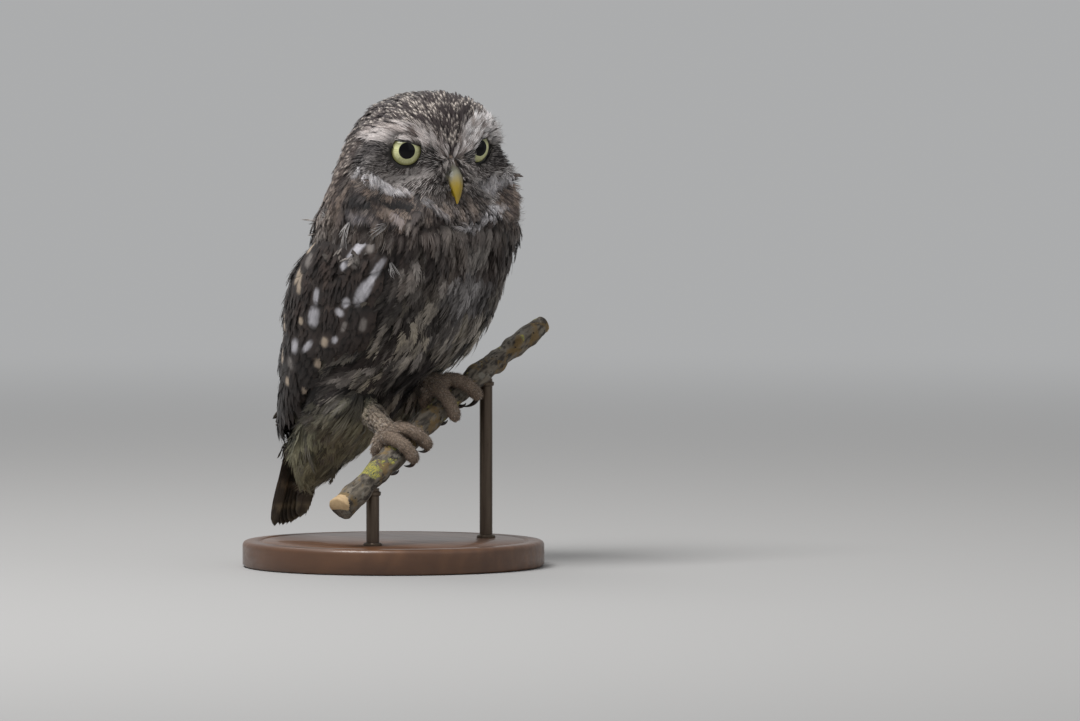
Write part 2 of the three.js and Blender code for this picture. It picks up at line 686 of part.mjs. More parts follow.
// Legs, feet, toes and claws
for (const side of sideNames) {
  addNode(`thigh_${side}`, cut(thighSolid(side, 0), ...wingClear, perchClear), materials.breast)
  const shank = cut(tarsusSolid(side, 0), thighSolid(side, gap), footSolid(side, gap), perchClear)
  addNode(`tarsus_${side}`, shank, materials.leg)
  addNode(`foot_${side}`, cut(footSolid(side, 0), perchClear), materials.leg)
  const done = [footSolid(side, gap), tarsusSolid(side, gap), thighSolid(side, gap), perchClear]
  for (const number of [2, 3, 1, 4]) {
    addNode(`toe_${side}_${number}`, cut(toeSolid(side, number, 0), ...done), materials.leg)
    done.push(toeSolid(side, number, gap))
  }
  for (const number of [2, 3, 1, 4]) {
    addNode(`claw_${side}_${number}`, cut(clawSolid(side, number), ...done), materials.claw)
  }
}

// Perch and stand
addNode('perch_branch', perchSolid(0), materials.bark)
const rods = { low: stand.low, high: stand.high }
for (const [name, x] of Object.entries(rods)) {
  addNode(`stand_rod_${name}`, cut(rod(x, 0), perchClear), materials.rod)
}
addNode('stand_base', cut(standBase(), rod(stand.low, gap), rod(stand.high, gap)), materials.wood)

export default group
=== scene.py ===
# A still little owl gripping a cut length of branch, on a plain display stand.
# Lengths in the tables are millimetres; meshes are in metres. The owl faces -Y and its left side is +X.
import json
import math

import bmesh
import bpy
import numpy as np
from mathutils import Matrix, Vector

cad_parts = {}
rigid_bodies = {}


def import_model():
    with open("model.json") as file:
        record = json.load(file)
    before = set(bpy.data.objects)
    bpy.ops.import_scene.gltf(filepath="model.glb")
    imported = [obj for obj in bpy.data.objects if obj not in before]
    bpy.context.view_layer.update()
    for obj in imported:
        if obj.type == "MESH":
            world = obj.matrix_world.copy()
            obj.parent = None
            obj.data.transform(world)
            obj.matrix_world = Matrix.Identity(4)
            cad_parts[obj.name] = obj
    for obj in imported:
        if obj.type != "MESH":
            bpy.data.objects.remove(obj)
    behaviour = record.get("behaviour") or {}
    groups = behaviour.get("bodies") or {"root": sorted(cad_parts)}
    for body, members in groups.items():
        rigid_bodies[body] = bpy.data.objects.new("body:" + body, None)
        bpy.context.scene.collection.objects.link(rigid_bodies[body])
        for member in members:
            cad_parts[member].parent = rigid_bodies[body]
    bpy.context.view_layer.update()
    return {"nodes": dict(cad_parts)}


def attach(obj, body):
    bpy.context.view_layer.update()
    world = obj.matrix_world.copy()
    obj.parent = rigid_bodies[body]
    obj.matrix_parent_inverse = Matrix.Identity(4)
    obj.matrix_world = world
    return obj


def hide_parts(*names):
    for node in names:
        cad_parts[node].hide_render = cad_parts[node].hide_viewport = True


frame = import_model()
mm = 0.001
draw = np.random.default_rng(5)
sides = ("right", "left")
toes = (1, 2, 3, 4)
print("frame loaded")


# Small helpers on arrays of points
def smooth(value, low, high):
    t = np.clip((np.asarray(value, float) - low) / (high - low), 0, 1)
    return t * t * (3 - 2 * t)


def fade(value, low, high):
    return 1 - smooth(value, low, high)


def mix(a, b, t):
    return a + (b - a) * t


def mixRows(a, b, t):
    return a + (b - a) * np.asarray(t)[:, None]


def unit(v):
    return v / np.maximum(np.linalg.norm(v, axis=-1, keepdims=True), 1e-9)


def dot(a, b):
    return (a * b).sum(-1)


def flatTo(v, out):  # directions laid on the surface
    return unit(v - out * dot(v, out)[:, None])


def rowsOf(*columns):
    return np.stack(np.broadcast_arrays(*[np.asarray(c, float) for c in columns]), -1)


def same(p, value):  # one value or tone for every point
    return np.repeat(np.asarray(value, float)[None], len(p), axis=0)


def chances(p):
    return draw.random(len(p))


def paint(red, green, blue):  # a screen colour of 0 to 255 as a linear one
    c = np.array([red, green, blue], float) / 255
    return np.where(c <= 0.04045, c / 12.92, ((c + 0.055) / 1.055) ** 2.4)


def speckle(p, size, seed=0):  # smooth noise from 0 to 1, with lumps of a given size
    q = np.asarray(p, float) / size + seed * 17.31
    cell = np.floor(q).astype(np.int64)
    part = q - cell
    part = part * part * (3 - 2 * part)
    total = np.zeros(len(q))
    for corner in range(8):
        step = np.array([corner & 1, corner >> 1 & 1, corner >> 2 & 1])
        k = cell + step
        n = (k[:, 0] * 73856093) ^ (k[:, 1] * 19349663) ^ (k[:, 2] * 83492791)
        n = ((n ^ (n >> 13)) * 1274126177) & 0x7FFFFFFF
        n = ((n ^ (n >> 11)) * 668265263) & 0x7FFFFFFF
        weight = np.prod(np.where(step == 1, part, 1 - part), axis=1)
        total += weight * (n / 0x7FFFFFFF)
    return total


def turnZ(p, angle):
    c, s = np.cos(angle), np.sin(angle)
    return rowsOf(c * p[..., 0] - s * p[..., 1], s * p[..., 0] + c * p[..., 1], p[..., 2])


# The owl's form, the same as the solids have
form = {
    "headCentre": np.array([-5, -24.5, 186.0]),
    "headTurn": math.radians(-16),
    "turnFrom": 150,
    "turnTo": 174,
    "roundBody": 2.6,
    "roundThroat": 3.5,
    "roundNape": 2.15,
}

# Height, half width, depth before and behind the widest line, and that line's Y
bodyRows = np.array([
    [36, 6, 5, 5, 56], [45.5, 14, 13, 13, 49.5], [54.5, 19, 18.5, 18.5, 44.5], [63, 23.5, 25, 25, 38.7],
    [71.5, 27, 31, 31, 31.3], [80.5, 31.5, 32.5, 32.5, 26.6], [89.5, 35.5, 35.5, 35.5, 20.6],
    [102.5, 41, 41, 41, 10.5], [115.5, 44.5, 44.3, 44.3, 3.6], [126, 46.5, 45.3, 45.3, -1.7],
    [136, 48, 44.5, 44.5, -6.3], [150, 48, 40.4, 40.4, -13.8], [158, 48, 37, 43.5, -18.5],
    [166.5, 47, 32, 43, -21.5], [174, 44.5, 25.5, 40, -24], [183, 41, 23, 39, -24.5],
    [192, 36.5, 21, 36.5, -24.5], [197, 30, 17, 30, -24.5],
])

# Height of the folded wing, and the angles from the nose of its two edges
wingRows = np.array([
    [159, 76, 118], [150, 62, 150], [125, 60, 160], [106, 60, 168], [96, 82, 172], [78, 90, 176],
    [66, 96, 177], [58, 116, 177],
])


def between(table, height, column):
    rows = table[np.argsort(table[:, 0])]
    x, v = rows[:, 0], rows[:, column]
    h = np.clip(height, x[0], x[-1])
    i = np.clip(np.searchsorted(x, h, side="right") - 1, 0, len(x) - 2)
    before = np.maximum(np.arange(len(x)) - 1, 0)
    after = np.minimum(np.arange(len(x)) + 1, len(x) - 1)
    slope = (v[after] - v[before]) / (x[after] - x[before])
    step = x[i + 1] - x[i]
    t = (h - x[i]) / step
    rise = t * t * (3 - 2 * t)
    bend = slope[i] * t * (1 - t) ** 2 - slope[i + 1] * t * t * (1 - t)
    return v[i] * (1 - rise) + v[i + 1] * rise + bend * step


def roundness(height, ahead):
    end = np.where(ahead, form["roundThroat"], form["roundNape"])
    return mix(form["roundBody"], end, smooth(height, form["turnFrom"], form["turnTo"]))


def bodyForm(height, angle):
    height, angle = np.broadcast_arrays(np.asarray(height, float), np.asarray(angle, float))
    side, front, back, middle = (between(bodyRows, height, k) for k in (1, 2, 3, 4))
    turned = smooth(height, form["turnFrom"], form["turnTo"])
    ahead = np.cos(angle) > 0
    power = 2 / roundness(height, ahead)
    x = side * np.sign(np.sin(angle)) * np.abs(np.sin(angle)) ** power
    y = -np.where(ahead, front, back) * np.sign(np.cos(angle)) * np.abs(np.cos(angle)) ** power
    p = turnZ(rowsOf(x, y, 0), form["headTurn"] * turned)
    return p + rowsOf(form["headCentre"][0] * turned, middle, height)


def bodyAngle(p):  # from the nose, positive to the owl's left
    side, front, back, middle = (between(bodyRows, p[..., 2], k) for k in (1, 2, 3, 4))
    turned = smooth(p[..., 2], form["turnFrom"], form["turnTo"])
    local = turnZ(rowsOf(p[..., 0] - form["headCentre"][0] * turned, p[..., 1] - middle, 0),
        -form["headTurn"] * turned)
    ahead = local[..., 1] < 0
    power = roundness(p[..., 2], ahead) / 2
    x = np.sign(local[..., 0]) * np.abs(local[..., 0] / side) ** power
    y = np.sign(-local[..., 1]) * np.abs(local[..., 1] / np.where(ahead, front, back)) ** power
    return np.arctan2(x, y)


def turnedBy(p):  # degrees from the nose, on either side
    return np.degrees(np.abs(bodyAngle(p)))


def bodyNormal(height, angle):
    across = bodyForm(height, angle + 0.02) - bodyForm(height, angle - 0.02)
    up = bodyForm(height + 1.0, angle) - bodyForm(height - 1.0, angle)
    return unit(np.cross(across, up))


def bodyPoint(height, angle, offset):
    return bodyForm(height, angle) + bodyNormal(height, angle) * np.asarray(offset, float)[..., None]


def toHead(p):  # to left, forward and up from the head's centre
    q = turnZ(p - form["headCentre"], -form["headTurn"])
    return rowsOf(q[..., 0], -q[..., 1], q[..., 2])


def fromHead(left, forward, up):
    return turnZ(rowsOf(left, -np.asarray(forward, float), up), form["headTurn"]) + form["headCentre"]


def headWay(left, forward, up):
    return unit(turnZ(rowsOf(left, -np.asarray(forward, float), up), form["headTurn"]))


# Meshes and node trees
def newObject(name, mesh):
    thing = bpy.data.objects.new(name, mesh)
    bpy.context.scene.collection.objects.link(thing)
    return thing


def meshFrom(name, points, faces, uv=None, marks=None):
    mesh = bpy.data.meshes.new(name)
    mesh.from_pydata((np.asarray(points) * mm).tolist(), [], [tuple(int(i) for i in f) for f in faces])
    mesh.polygons.foreach_set("use_smooth", [True] * len(mesh.polygons))
    if uv is not None:
        corners = np.zeros(len(mesh.loops), np.int64)
        mesh.loops.foreach_get("vertex_index", corners)
        for layer, values in uv.items():
            made = mesh.uv_layers.new(name=layer)
            made.data.foreach_set("uv", np.asarray(values, np.float32)[corners].ravel())
    for key, values in (marks or {}).items():
        addMark(mesh, key, values)
    return mesh


def addMark(mesh, name, values):
    values = np.asarray(values, np.float32)
    kind = {1: "FLOAT", 3: "FLOAT_VECTOR", 4: "FLOAT_COLOR"}[1 if values.ndim == 1 else values.shape[1]]
    if values.ndim == 1 and name == "pick":
        kind = "INT"
        values = values.astype(np.int32)
    layer = mesh.attributes.new(name, kind, "POINT")
    field = {"FLOAT": "value", "INT": "value", "FLOAT_VECTOR": "vector", "FLOAT_COLOR": "color"}[kind]
    layer.data.foreach_set(field, values.ravel())


def gridFaces(rows, cols, closed=False):
    faces = []
    wide = cols if closed else cols + 1
    for r in range(rows):
        for c in range(cols):
            d = (c + 1) % wide
            faces.append((r * wide + c, r * wide + d, (r + 1) * wide + d, (r + 1) * wide + c))
    return faces


def loft(rows, sides, centre, ring):  # a closed tube through rings, with a point at each end
    angle = np.arange(sides) * 2 * math.pi / sides
    points = [ring(r / rows, angle) for r in range(rows + 1)]
    points = np.concatenate(points + [centre(0)[None], centre(1)[None]])
    faces = gridFaces(rows, sides, closed=True)
    first, last = len(points) - 2, len(points) - 1
    for c in range(sides):
        d = (c + 1) % sides
        faces.append((first, d, c))
        faces.append((last, rows * sides + c, rows * sides + d))
    return points, faces


def finished(piece, slot, *nodes, material=None):  # a piece of the one body, in place of the nodes named
    if material:
        piece.data.materials.append(material)
    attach(piece, "root")
    if nodes:
        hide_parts(*nodes)
    return piece


def outward(mesh):
    bm = bmesh.new()
    bm.from_mesh(mesh)
    bmesh.ops.remove_doubles(bm, verts=bm.verts, dist=1e-6)
    bmesh.ops.recalc_face_normals(bm, faces=bm.faces)
    bm.to_mesh(mesh)
    bm.free()
    return mesh


def vectors(rows, field):
    values = np.zeros(len(rows) * 3, np.float32)
    rows.foreach_get(field, values)
    return values.reshape(-1, 3).astype(float)


def points(mesh):
    return vectors(mesh.vertices, "co") / mm


def normals(mesh):
    return vectors(mesh.vertex_normals, "vector")


def smoothMesh(name, meshes):  # several meshes joined in one
    bm = bmesh.new()
    for mesh in meshes:
        bm.from_mesh(mesh)
    joined = bpy.data.meshes.new(name)
    bm.to_mesh(joined)
    bm.free()
    joined.polygons.foreach_set("use_smooth", [True] * len(joined.polygons))
    return joined


def placePoints(mesh, p):
    mesh.vertices.foreach_set("co", (np.asarray(p) * mm).astype(np.float32).ravel())
    mesh.update()


def plainMesh(thing, name):  # what the modifiers make, as a mesh of its own
    graph = bpy.context.evaluated_depsgraph_get()
    mesh = bpy.data.meshes.new_from_object(
        thing.evaluated_get(graph), preserve_all_data_layers=True, depsgraph=graph)
    mesh.name = name
    return mesh


class Net:  # builds a node tree with few words
    def __init__(self, tree):
        self.tree = tree

    def add(self, kind, links=None, **settings):
        node = self.tree.nodes.new(kind)
        for key, value in settings.items():
            setattr(node, key, value)
        for key, value in (links or {}).items():
            self.set(node.inputs[key], value)
        return node

    def set(self, socket, value):
        if isinstance(value, bpy.types.NodeSocket):
            self.tree.links.new(value, socket)
        elif isinstance(value, bpy.types.Node):
            self.tree.links.new(value.outputs[0], socket)
        else:
            socket.default_value = value

    def math(self, operation, *values):
        return self.add("ShaderNodeMath", dict(enumerate(values)), operation=operation).outputs[0]

    def times(self, a, b):
        return self.math("MULTIPLY", a, b)

    def plus(self, a, b):
        return self.math("ADD", a, b)

    def minus(self, a, b):
        return self.math("SUBTRACT", a, b)

    def linear(self, value, slope, start):
        return self.math("MULTIPLY_ADD", value, slope, start)

    def coords(self):
        return self.add("ShaderNodeTexCoord").outputs["Object"]

    def mark(self, name, output="Fac"):  # an attribute of the mesh
        return self.add("ShaderNodeAttribute", attribute_name=name).outputs[output]

    def noise(self, vector, scale, detail, **more):
        return self.add("ShaderNodeTexNoise", {"Vector": vector, "Scale": scale, "Detail": detail, **more})

    def over(self, tone, value, low, high, colour, *ends):  # a colour laid over a tone where a value rises
        return self.blend(self.ramp(value, low, high, *ends), tone, paint(*colour))

    def base(self, colour):
        self.set(self.shader.inputs["Base Color"], colour)

    def bump(self, height, strength, distance):
        node = self.add("ShaderNodeBump", {"Height": height, "Strength": strength, "Distance": distance})
        self.set(self.shader.inputs["Normal"], node)

    def ramp(self, value, low, high, first=0.0, last=1.0):
        node = self.add("ShaderNodeMapRange", {0: value, 1: low, 2: high, 3: first, 4: last})
        node.interpolation_type = "SMOOTHSTEP"
        return node.outputs[0]

    def blend(self, factor, a, b, kind="MIX"):
        node = self.tree.nodes.new("ShaderNodeMix")
        node.data_type = "RGBA"
        node.blend_type = kind
        for socket, value in ((node.inputs[0], factor), (node.inputs[6], a), (node.inputs[7], b)):
            if isinstance(value, (tuple, list, np.ndarray)):
                value = tuple(float(c) for c in value[:3]) + (1.0,)
            self.set(socket, value)
        return node.outputs[2]


def newMaterial(name, **values):
    material = bpy.data.materials.new(name)
    material.use_nodes = True
    net = Net(material.node_tree)
    net.shader = material.node_tree.nodes["Principled BSDF"]
    for key, value in values.items():
        net.shader.inputs[key.replace("_", " ")].default_value = value
    return material, net


def newGroup(name, kind, inputs, outputs):  # sockets as name, kind and a value where they have one
    tree = bpy.data.node_groups.new(name, kind)
    for way, rows in (("INPUT", inputs), ("OUTPUT", outputs)):
        for key, socket, *value in rows:
            item = tree.interface.new_socket(key, in_out=way, socket_type="NodeSocket" + socket)
            if value:
                item.default_value = value[0]
    net = Net(tree)
    return net, net.add("NodeGroupInput").outputs, net.add("NodeGroupOutput").inputs


def runTree(thing, tree, values, name):  # a modifier's inputs are set by their identifiers
    modifier = thing.modifiers.new(name, "NODES")
    modifier.node_group = tree
    for item in tree.interface.items_tree:
        if item.item_type == "SOCKET" and item.in_out == "INPUT" and item.name in values:
            modifier[item.identifier] = values[item.name]
    mesh = plainMesh(thing, name)
    thing.modifiers.remove(modifier)
    return mesh


# The view of the photograph, light and floor
view = {"azimuth": -48, "elevation": 2.5, "lens": 300, "distance": 4158, "aim": (35.5, -59.5, 96.0)}
light = {
    "key": {"azimuth": -88, "height": 56, "away": 1.5, "size": 0.7, "power": 26},
    "fill": {"azimuth": 5, "height": 24, "away": 1.7, "size": 1.5, "power": 2.5},
    "rim": {"azimuth": 150, "height": 58, "away": 1.6, "size": 1.0, "power": 8},
}
pale = {"world": 0.44, "sky": (0.93, 0.94, 0.95), "floor": paint(162, 161, 160), "near": 0.35, "far": 2.4,
    "middle": 0.12}


def aimed(thing, azimuth, elevation, away, middle, scale=1.0):  # sets a thing out, looking back at a middle
    a, e = math.radians(azimuth), math.radians(elevation)
    way = Vector((math.sin(a) * math.cos(e), -math.cos(a) * math.cos(e), math.sin(e)))
    thing.location = (middle + way * away) * scale
    thing.rotation_euler = way.to_track_quat("Z", "Y").to_euler()


camera = newObject("camera", bpy.data.cameras.new("camera"))
camera.data.lens = view["lens"]
camera.data.sensor_width = 36
camera.data.clip_end = 100
aimed(camera, view["azimuth"], view["elevation"], view["distance"], Vector(view["aim"]), mm)
bpy.context.scene.camera = camera

for name, lamp in light.items():
    area = bpy.data.lights.new("light_" + name, "AREA")
    area.size = lamp["size"]
    area.energy = lamp["power"]
    aimed(newObject("light_" + name, area), lamp["azimuth"], lamp["height"], lamp["away"],
        Vector((0, 0, pale["middle"])))

world = bpy.data.worlds.new("studio")
world.use_nodes = True
backdrop = world.node_tree.nodes["Background"].inputs
backdrop["Color"].default_value = (*pale["sky"], 1)
backdrop["Strength"].default_value = pale["world"]
bpy.context.scene.world = world
bpy.context.scene.view_settings.view_transform = "Standard"

floorMaterial, net = newMaterial("paleFloor", Roughness=0.85)
cloud = net.add("ShaderNodeTexNoise", {"Scale": 3.0, "Detail": 4.0})
tone = net.blend(cloud.outputs[0], pale["floor"] * 0.97, pale["floor"])
coords = net.coords()
away = net.add("ShaderNodeVectorMath", {0: coords}, operation="LENGTH").outputs["Value"]
far = net.ramp(away, pale["near"], pale["far"])  # the floor passes into the light of the room
net.base(net.blend(far, tone, (0, 0, 0)))
ends = net.shader.inputs
net.set(ends["Emission Color"], net.blend(far, (0, 0, 0), np.array(pale["sky"]) * pale["world"]))
ends["Emission Strength"].default_value = 1.0
ends["Specular IOR Level"].default_value = 0.0
floorMesh = bpy.data.meshes.new("floor")
bm = bmesh.new()
bmesh.ops.create_circle(bm, cap_ends=True, segments=96, radius=8)
bm.to_mesh(floorMesh)
bm.free()
floorMesh.materials.append(floorMaterial)
floor = newObject("floor", floorMesh)
print("camera, light and floor")

# Shared shader groups
# Fine barbs: lines that run forward from the shaft, as a shade and a height
net, ends, out = newGroup("barbs", "ShaderNodeTree",
    [("UV", "Vector"), ("Lines", "Float", 60.0), ("Slant", "Float", 14.0)],
    [("Shade", "Float"), ("Height", "Float")])
part = net.add("ShaderNodeSeparateXYZ", {0: ends["UV"]})
side = net.math("ABSOLUTE", net.linear(part, 2.0, -1.0))
along = net.times(part.outputs[1], ends["Lines"])
slant = net.times(side, ends["Slant"])
phase = net.minus(along, slant)
wander = net.noise(ends["UV"], 9.0, 2.0)
phase = net.plus(phase, net.times(wander, 5.0))
wave = net.linear(net.math("SINE", net.times(phase, math.pi)), 0.5, 0.5)
grain = net.add("ShaderNodeCombineXYZ", {0: phase, 1: net.times(side, 3.0)})
fleck = net.noise(grain, 1.0, 3.0)
net.set(out["Shade"], net.linear(fleck, 0.5, net.linear(wave, 0.12, 0.69)))
net.set(out["Height"], wave)
barbs = net.tree

# Grain of wood or bark in Object coordinates, stretched along one axis
net, ends, out = newGroup("fibres", "ShaderNodeTree",
    [("Vector", "Vector"), ("Stretch", "Vector"), ("Scale", "Float", 1.0)],
    [("Coarse", "Float"), ("Fine", "Float")])
drawn = net.add("ShaderNodeVectorMath", {0: ends["Vector"], 1: ends["Stretch"]},
    operation="MULTIPLY")
coarse = net.add("ShaderNodeTexNoise", {"Vector": drawn, "Scale": ends["Scale"], "Detail": 5.0,
    "Distortion": 0.6})
fine = net.add("ShaderNodeTexNoise", {"Vector": drawn, "Detail": 3.0,
    "Scale": net.times(ends["Scale"], 5.0)})
net.set(out["Coarse"], coarse)
net.set(out["Fine"], fine)
fibres = net.tree


def place(net, group, links):
    node = net.add("ShaderNodeGroup")
    node.node_tree = group
    for key, value in links.items():
        net.set(node.inputs[key], value)
    return node


def grainOf(net, vector, stretch, scale):
    return place(net, fibres, {"Vector": vector, "Stretch": stretch, "Scale": scale})


def grainMaterial(name, scale, dark, light, strength, distance, **values):
    material, net = newMaterial(name, **values)
    grain = grainOf(net, net.coords(), (1.0, 1.0, 1.0), scale)
    net.base(net.blend(grain, dark, light))
    net.bump(grain.outputs[1], strength, distance)
    return material


# The display stand: a turned base and two rods
stand = {"radius": 70, "height": 12, "rod": 3, "low": -36, "high": 42}
woodMaterial, net = newMaterial("walnut", Roughness=0.42, Coat_Weight=0.25)
coords = net.coords()
wood = grainOf(net, coords, (1.0, 0.09, 1.0), 95.0)
rings = net.add("ShaderNodeTexWave", {"Vector": coords, "Scale": 38.0, "Distortion": 7.0, "Detail": 3.0,
    "Detail Scale": 1.3})
tone = net.blend(wood, paint(60, 38, 25), paint(112, 76, 49))
tone = net.blend(net.times(rings, 0.45), tone, paint(74, 47, 30))
net.base(tone)
net.set(net.shader.inputs["Roughness"], net.ramp(wood.outputs[1], 0.2, 0.8, 0.36, 0.5))
net.bump(wood.outputs[1], 0.15, 0.0003)

profile = [(66, 0), (69.2, 0.4), (stand["radius"], 1.4), (stand["radius"], 9.4)]
profile += [(70 - 2.2 * (1 - math.cos(k * math.pi / 12)), 9.8 + 2.2 * math.sin(k * math.pi / 12))
    for k in range(7)]
profile += [(63, 12), (62.4, 11.5), (61.8, 11.35), (61.2, 11.5), (60.6, 12)]


def turnedPiece(name, mesh, steps, x, y, sides, sharp):  # rings of (width, height) round an upright line
    def ring(t, angle):
        width, height = steps[int(round(t * (len(steps) - 1)))]
        return rowsOf(x + width * np.cos(angle), y + width * np.sin(angle), height)

    shape, faces = loft(len(steps) - 1, sides, lambda t: np.array([x, y, steps[-t][1]], float), ring)
    piece = newObject(name, outward(meshFrom(mesh, shape, faces)))
    piece.data.set_sharp_from_angle(angle=math.radians(sharp))
    return piece


standBase = turnedPiece("stand_turned_base", "standBase", profile, 0, 0, 160, 40)
finished(standBase, "stand_wood", "stand_base", material=woodMaterial)

# The perch: the same way as in the solids, with finer bark
perch = {"radius": 5.2, "taper": 0.008, "mid": 66.7, "slope": 0.61, "sag": 0.0008, "from": -56, "to": 80,
    "y": -20, "bend": 0.9, "knots": 0.35, "ripple": 0.25, "flutes": 0.05, "past": 0.6}
perchKnots = [(48, 4.3, 1.5, 5), (-30, 1.2, 1.3, 4.0), (62, 2.4, 1.2, 3.5), (-46, 3.4, 1.0, 4)]


def perchWay(x):
    x = np.asarray(x, float)
    return rowsOf(x, perch["y"] + perch["bend"] * np.sin(x * 0.07),
        perch["mid"] + perch["slope"] * x - perch["sag"] * x * x)


def perchRadius(x):
    return perch["radius"] - perch["taper"] * x + perch["knots"] * np.sin(x * 0.21) \
        + perch["ripple"] * np.sin(x * 0.53 + 1)


def perchRing(x, angle, swell=0.0):
    forward = unit(perchWay(x + 1) - perchWay(x - 1))
    side = np.array([0, 1.0, 0])
    up = np.cross(forward, side)
    radius = perchRadius(x) * (1 + perch["flutes"] * np.sin(3 * angle + x * 0.1)) + swell
    return perchWay(x) + radius[:, None] * (np.cos(angle)[:, None] * side + np.sin(angle)[:, None] * up)


def perchAlong(t):
    return mix(perch["from"] - perch["past"], perch["to"] + perch["past"], t)


def barkRing(t, angle):
    x = perchAlong(t)
    smoothRing = perchRing(x, angle)
    ridge = speckle(smoothRing * [0.35, 1, 1], 1.6, 3) - 0.5
    lump = speckle(smoothRing, 4.5, 4) - 0.5
    swell = 0.55 * ridge + 0.5 * lump
    for at, turn, high, wide in perchKnots:
        off = np.abs((angle - turn + math.pi) % (2 * math.pi) - math.pi) * perch["radius"]
        swell = swell + high * np.exp(-((x - at) ** 2 + off ** 2) / (wide / 1.6) ** 2)
    edge = min(t, 1 - t) * 137  # to the nearer end
    swell = swell - 0.5 * (1 - min(edge / 0.8, 1)) ** 2
    return perchRing(x, angle, swell)


shape, faces = loft(300, 72, lambda t: perchWay(perchAlong(t)), barkRing)
branch = newObject("perch_bark", outward(meshFrom("perchBark", shape, faces)))

barkMaterial, net = newMaterial("bark", Roughness=0.88)
coords = net.coords()
axis = net.add("ShaderNodeMapping", {"Vector": coords, "Rotation": (0.0, math.atan(perch["slope"]), 0.0)})
bark = grainOf(net, axis, (0.35, 1.0, 1.0), 420.0)
patches = net.noise(coords, 130.0, 4.0, Roughness=0.6)
lichens = net.noise(coords, 95.0, 6.0, Roughness=0.7)
pores = net.add("ShaderNodeTexVoronoi", {"Vector": axis, "Scale": 330.0})
tone = net.blend(net.ramp(bark, 0.35, 0.65), paint(48, 42, 36), paint(112, 104, 92))
tone = net.over(tone, patches, 0.5, 0.6, (116, 94, 56), 0, 0.75)
tone = net.over(tone, patches, 0.42, 0.34, (128, 124, 114), 0, 0.7)
tone = net.over(tone, pores.outputs["Distance"], 0.16, 0.08, (40, 35, 31))
lichenGaps = []
for x, radius in ((-38, 0.008), (14, 0.009), (-22, 0.005)):
    spot = perchWay(float(x)) * mm + np.array([0, -0.002, 0.004])
    gone = net.add("ShaderNodeVectorMath", {0: coords, 1: tuple(spot)}, operation="DISTANCE").outputs["Value"]
    lichenGaps.append(net.math("DIVIDE", gone, radius))
near = net.math("MINIMUM", net.math("MINIMUM", lichenGaps[0], lichenGaps[1]), lichenGaps[2])
crust = net.minus(net.plus(lichens, 0.22), net.times(near, 0.24))
crust = net.math("MAXIMUM", crust, net.minus(lichens, 0.06))
tone = net.blend(net.ramp(crust, 0.54, 0.57), tone,
    net.blend(net.ramp(bark.outputs[1], 0.42, 0.6), paint(104, 106, 74), paint(156, 148, 66)))
net.base(tone)
rough = net.plus(net.times(bark, 0.6), net.times(bark.outputs[1], 0.4))
rough = net.minus(rough, net.ramp(pores.outputs["Distance"], 0.2, 0.05))
net.bump(rough, 0.9, 0.0007)
endMaterial = grainMaterial("cutWood", 500.0, paint(150, 122, 88), paint(198, 172, 132), 0.3, 0.0003,
    Roughness=0.7)
branch.data.materials.append(barkMaterial)
branch.data.materials.append(endMaterial)
for face in branch.data.polygons:
    off = face.center.x / mm
    if off < perch["from"] - 0.45 or off > perch["to"] + 0.45:
        face.material_index = 1
finished(branch, "bark", "perch_branch")

# Rods, each with a small collar under the bark
steel, net = newMaterial("browned_steel", Roughness=0.34, Metallic=0.85)
coords = net.coords()
streaks = grainOf(net, coords, (1.0, 1.0, 0.06), 700.0)
net.base(net.blend(streaks, paint(66, 56, 48), paint(104, 92, 80)))
net.set(net.shader.inputs["Roughness"], net.ramp(streaks.outputs[1], 0.2, 0.8, 0.26, 0.44))
for name in ("low", "high"):
    x = stand[name]
    above = perchWay(np.array(float(x)))
    under = float(above[2] - perchRadius(x) * math.sqrt(1 + perch["slope"] ** 2) + 1.0)
    steps = [(0, stand["rod"] + 1.4), (0.9, stand["rod"] + 1.4), (1.5, stand["rod"] + 0.9),
        (1.7, stand["rod"]), (under - 15.5, stand["rod"]), (under - 15.1, stand["rod"] + 0.7),
        (under - 13.6, stand["rod"] + 0.8), (under - 13.2, stand["rod"]), (under - 11.9, stand["rod"])]
    steps = [(width, stand["height"] - 0.1 + height) for height, width in steps]
    rod = turnedPiece("stand_" + name + "_rod", "rod", steps, x, above[1], 48, 35)
    finished(rod, "stand_metal", "stand_rod_" + name, material=steel)
print("stand and perch")

# Eyes: a ball with a low cornea, its iris and pupil in the plane of the iris
eye = {"ball": 9.5, "iris": 7.05, "pupil": 0.54, "apart": (20, 18.5), "forward": 16.4, "up": (7.8, 8.7),
    "splay": (23, 13), "dip": 4, "cornea": 0.8, "glance": (0, -0.25)}  # pairs are for its right and left


def eyeFrame(side):
    k = 0 if side < 0 else 1
    iris = fromHead(side * eye["apart"][k], eye["forward"], eye["up"][k])
    splay, dip = math.radians(eye["splay"][k]), math.radians(eye["dip"])
    look = unit(turnZ(np.array([side * math.sin(splay), -math.cos(splay), -math.sin(dip)]), form["headTurn"]))
    centre = iris - look * math.sqrt(eye["ball"] ** 2 - eye["iris"] ** 2)
    across = unit(np.cross(np.array([0, 0, 1.0]), look))  # towards the owl's right side of this eye
    return iris, look, centre, across, np.cross(look, across)


def eyeShell(side, polar, turn, radius):  # polar from the line of sight, turn from 'across' upwards
    look, centre, across, up = eyeFrame(side)[1:]
    polar, turn, radius = np.broadcast_arrays(polar, turn, radius)
    sine = (np.sin(polar) * radius)[..., None]
    return centre + (np.cos(polar) * radius)[..., None] * look \
        + sine * (np.cos(turn)[..., None] * across + np.sin(turn)[..., None] * up)


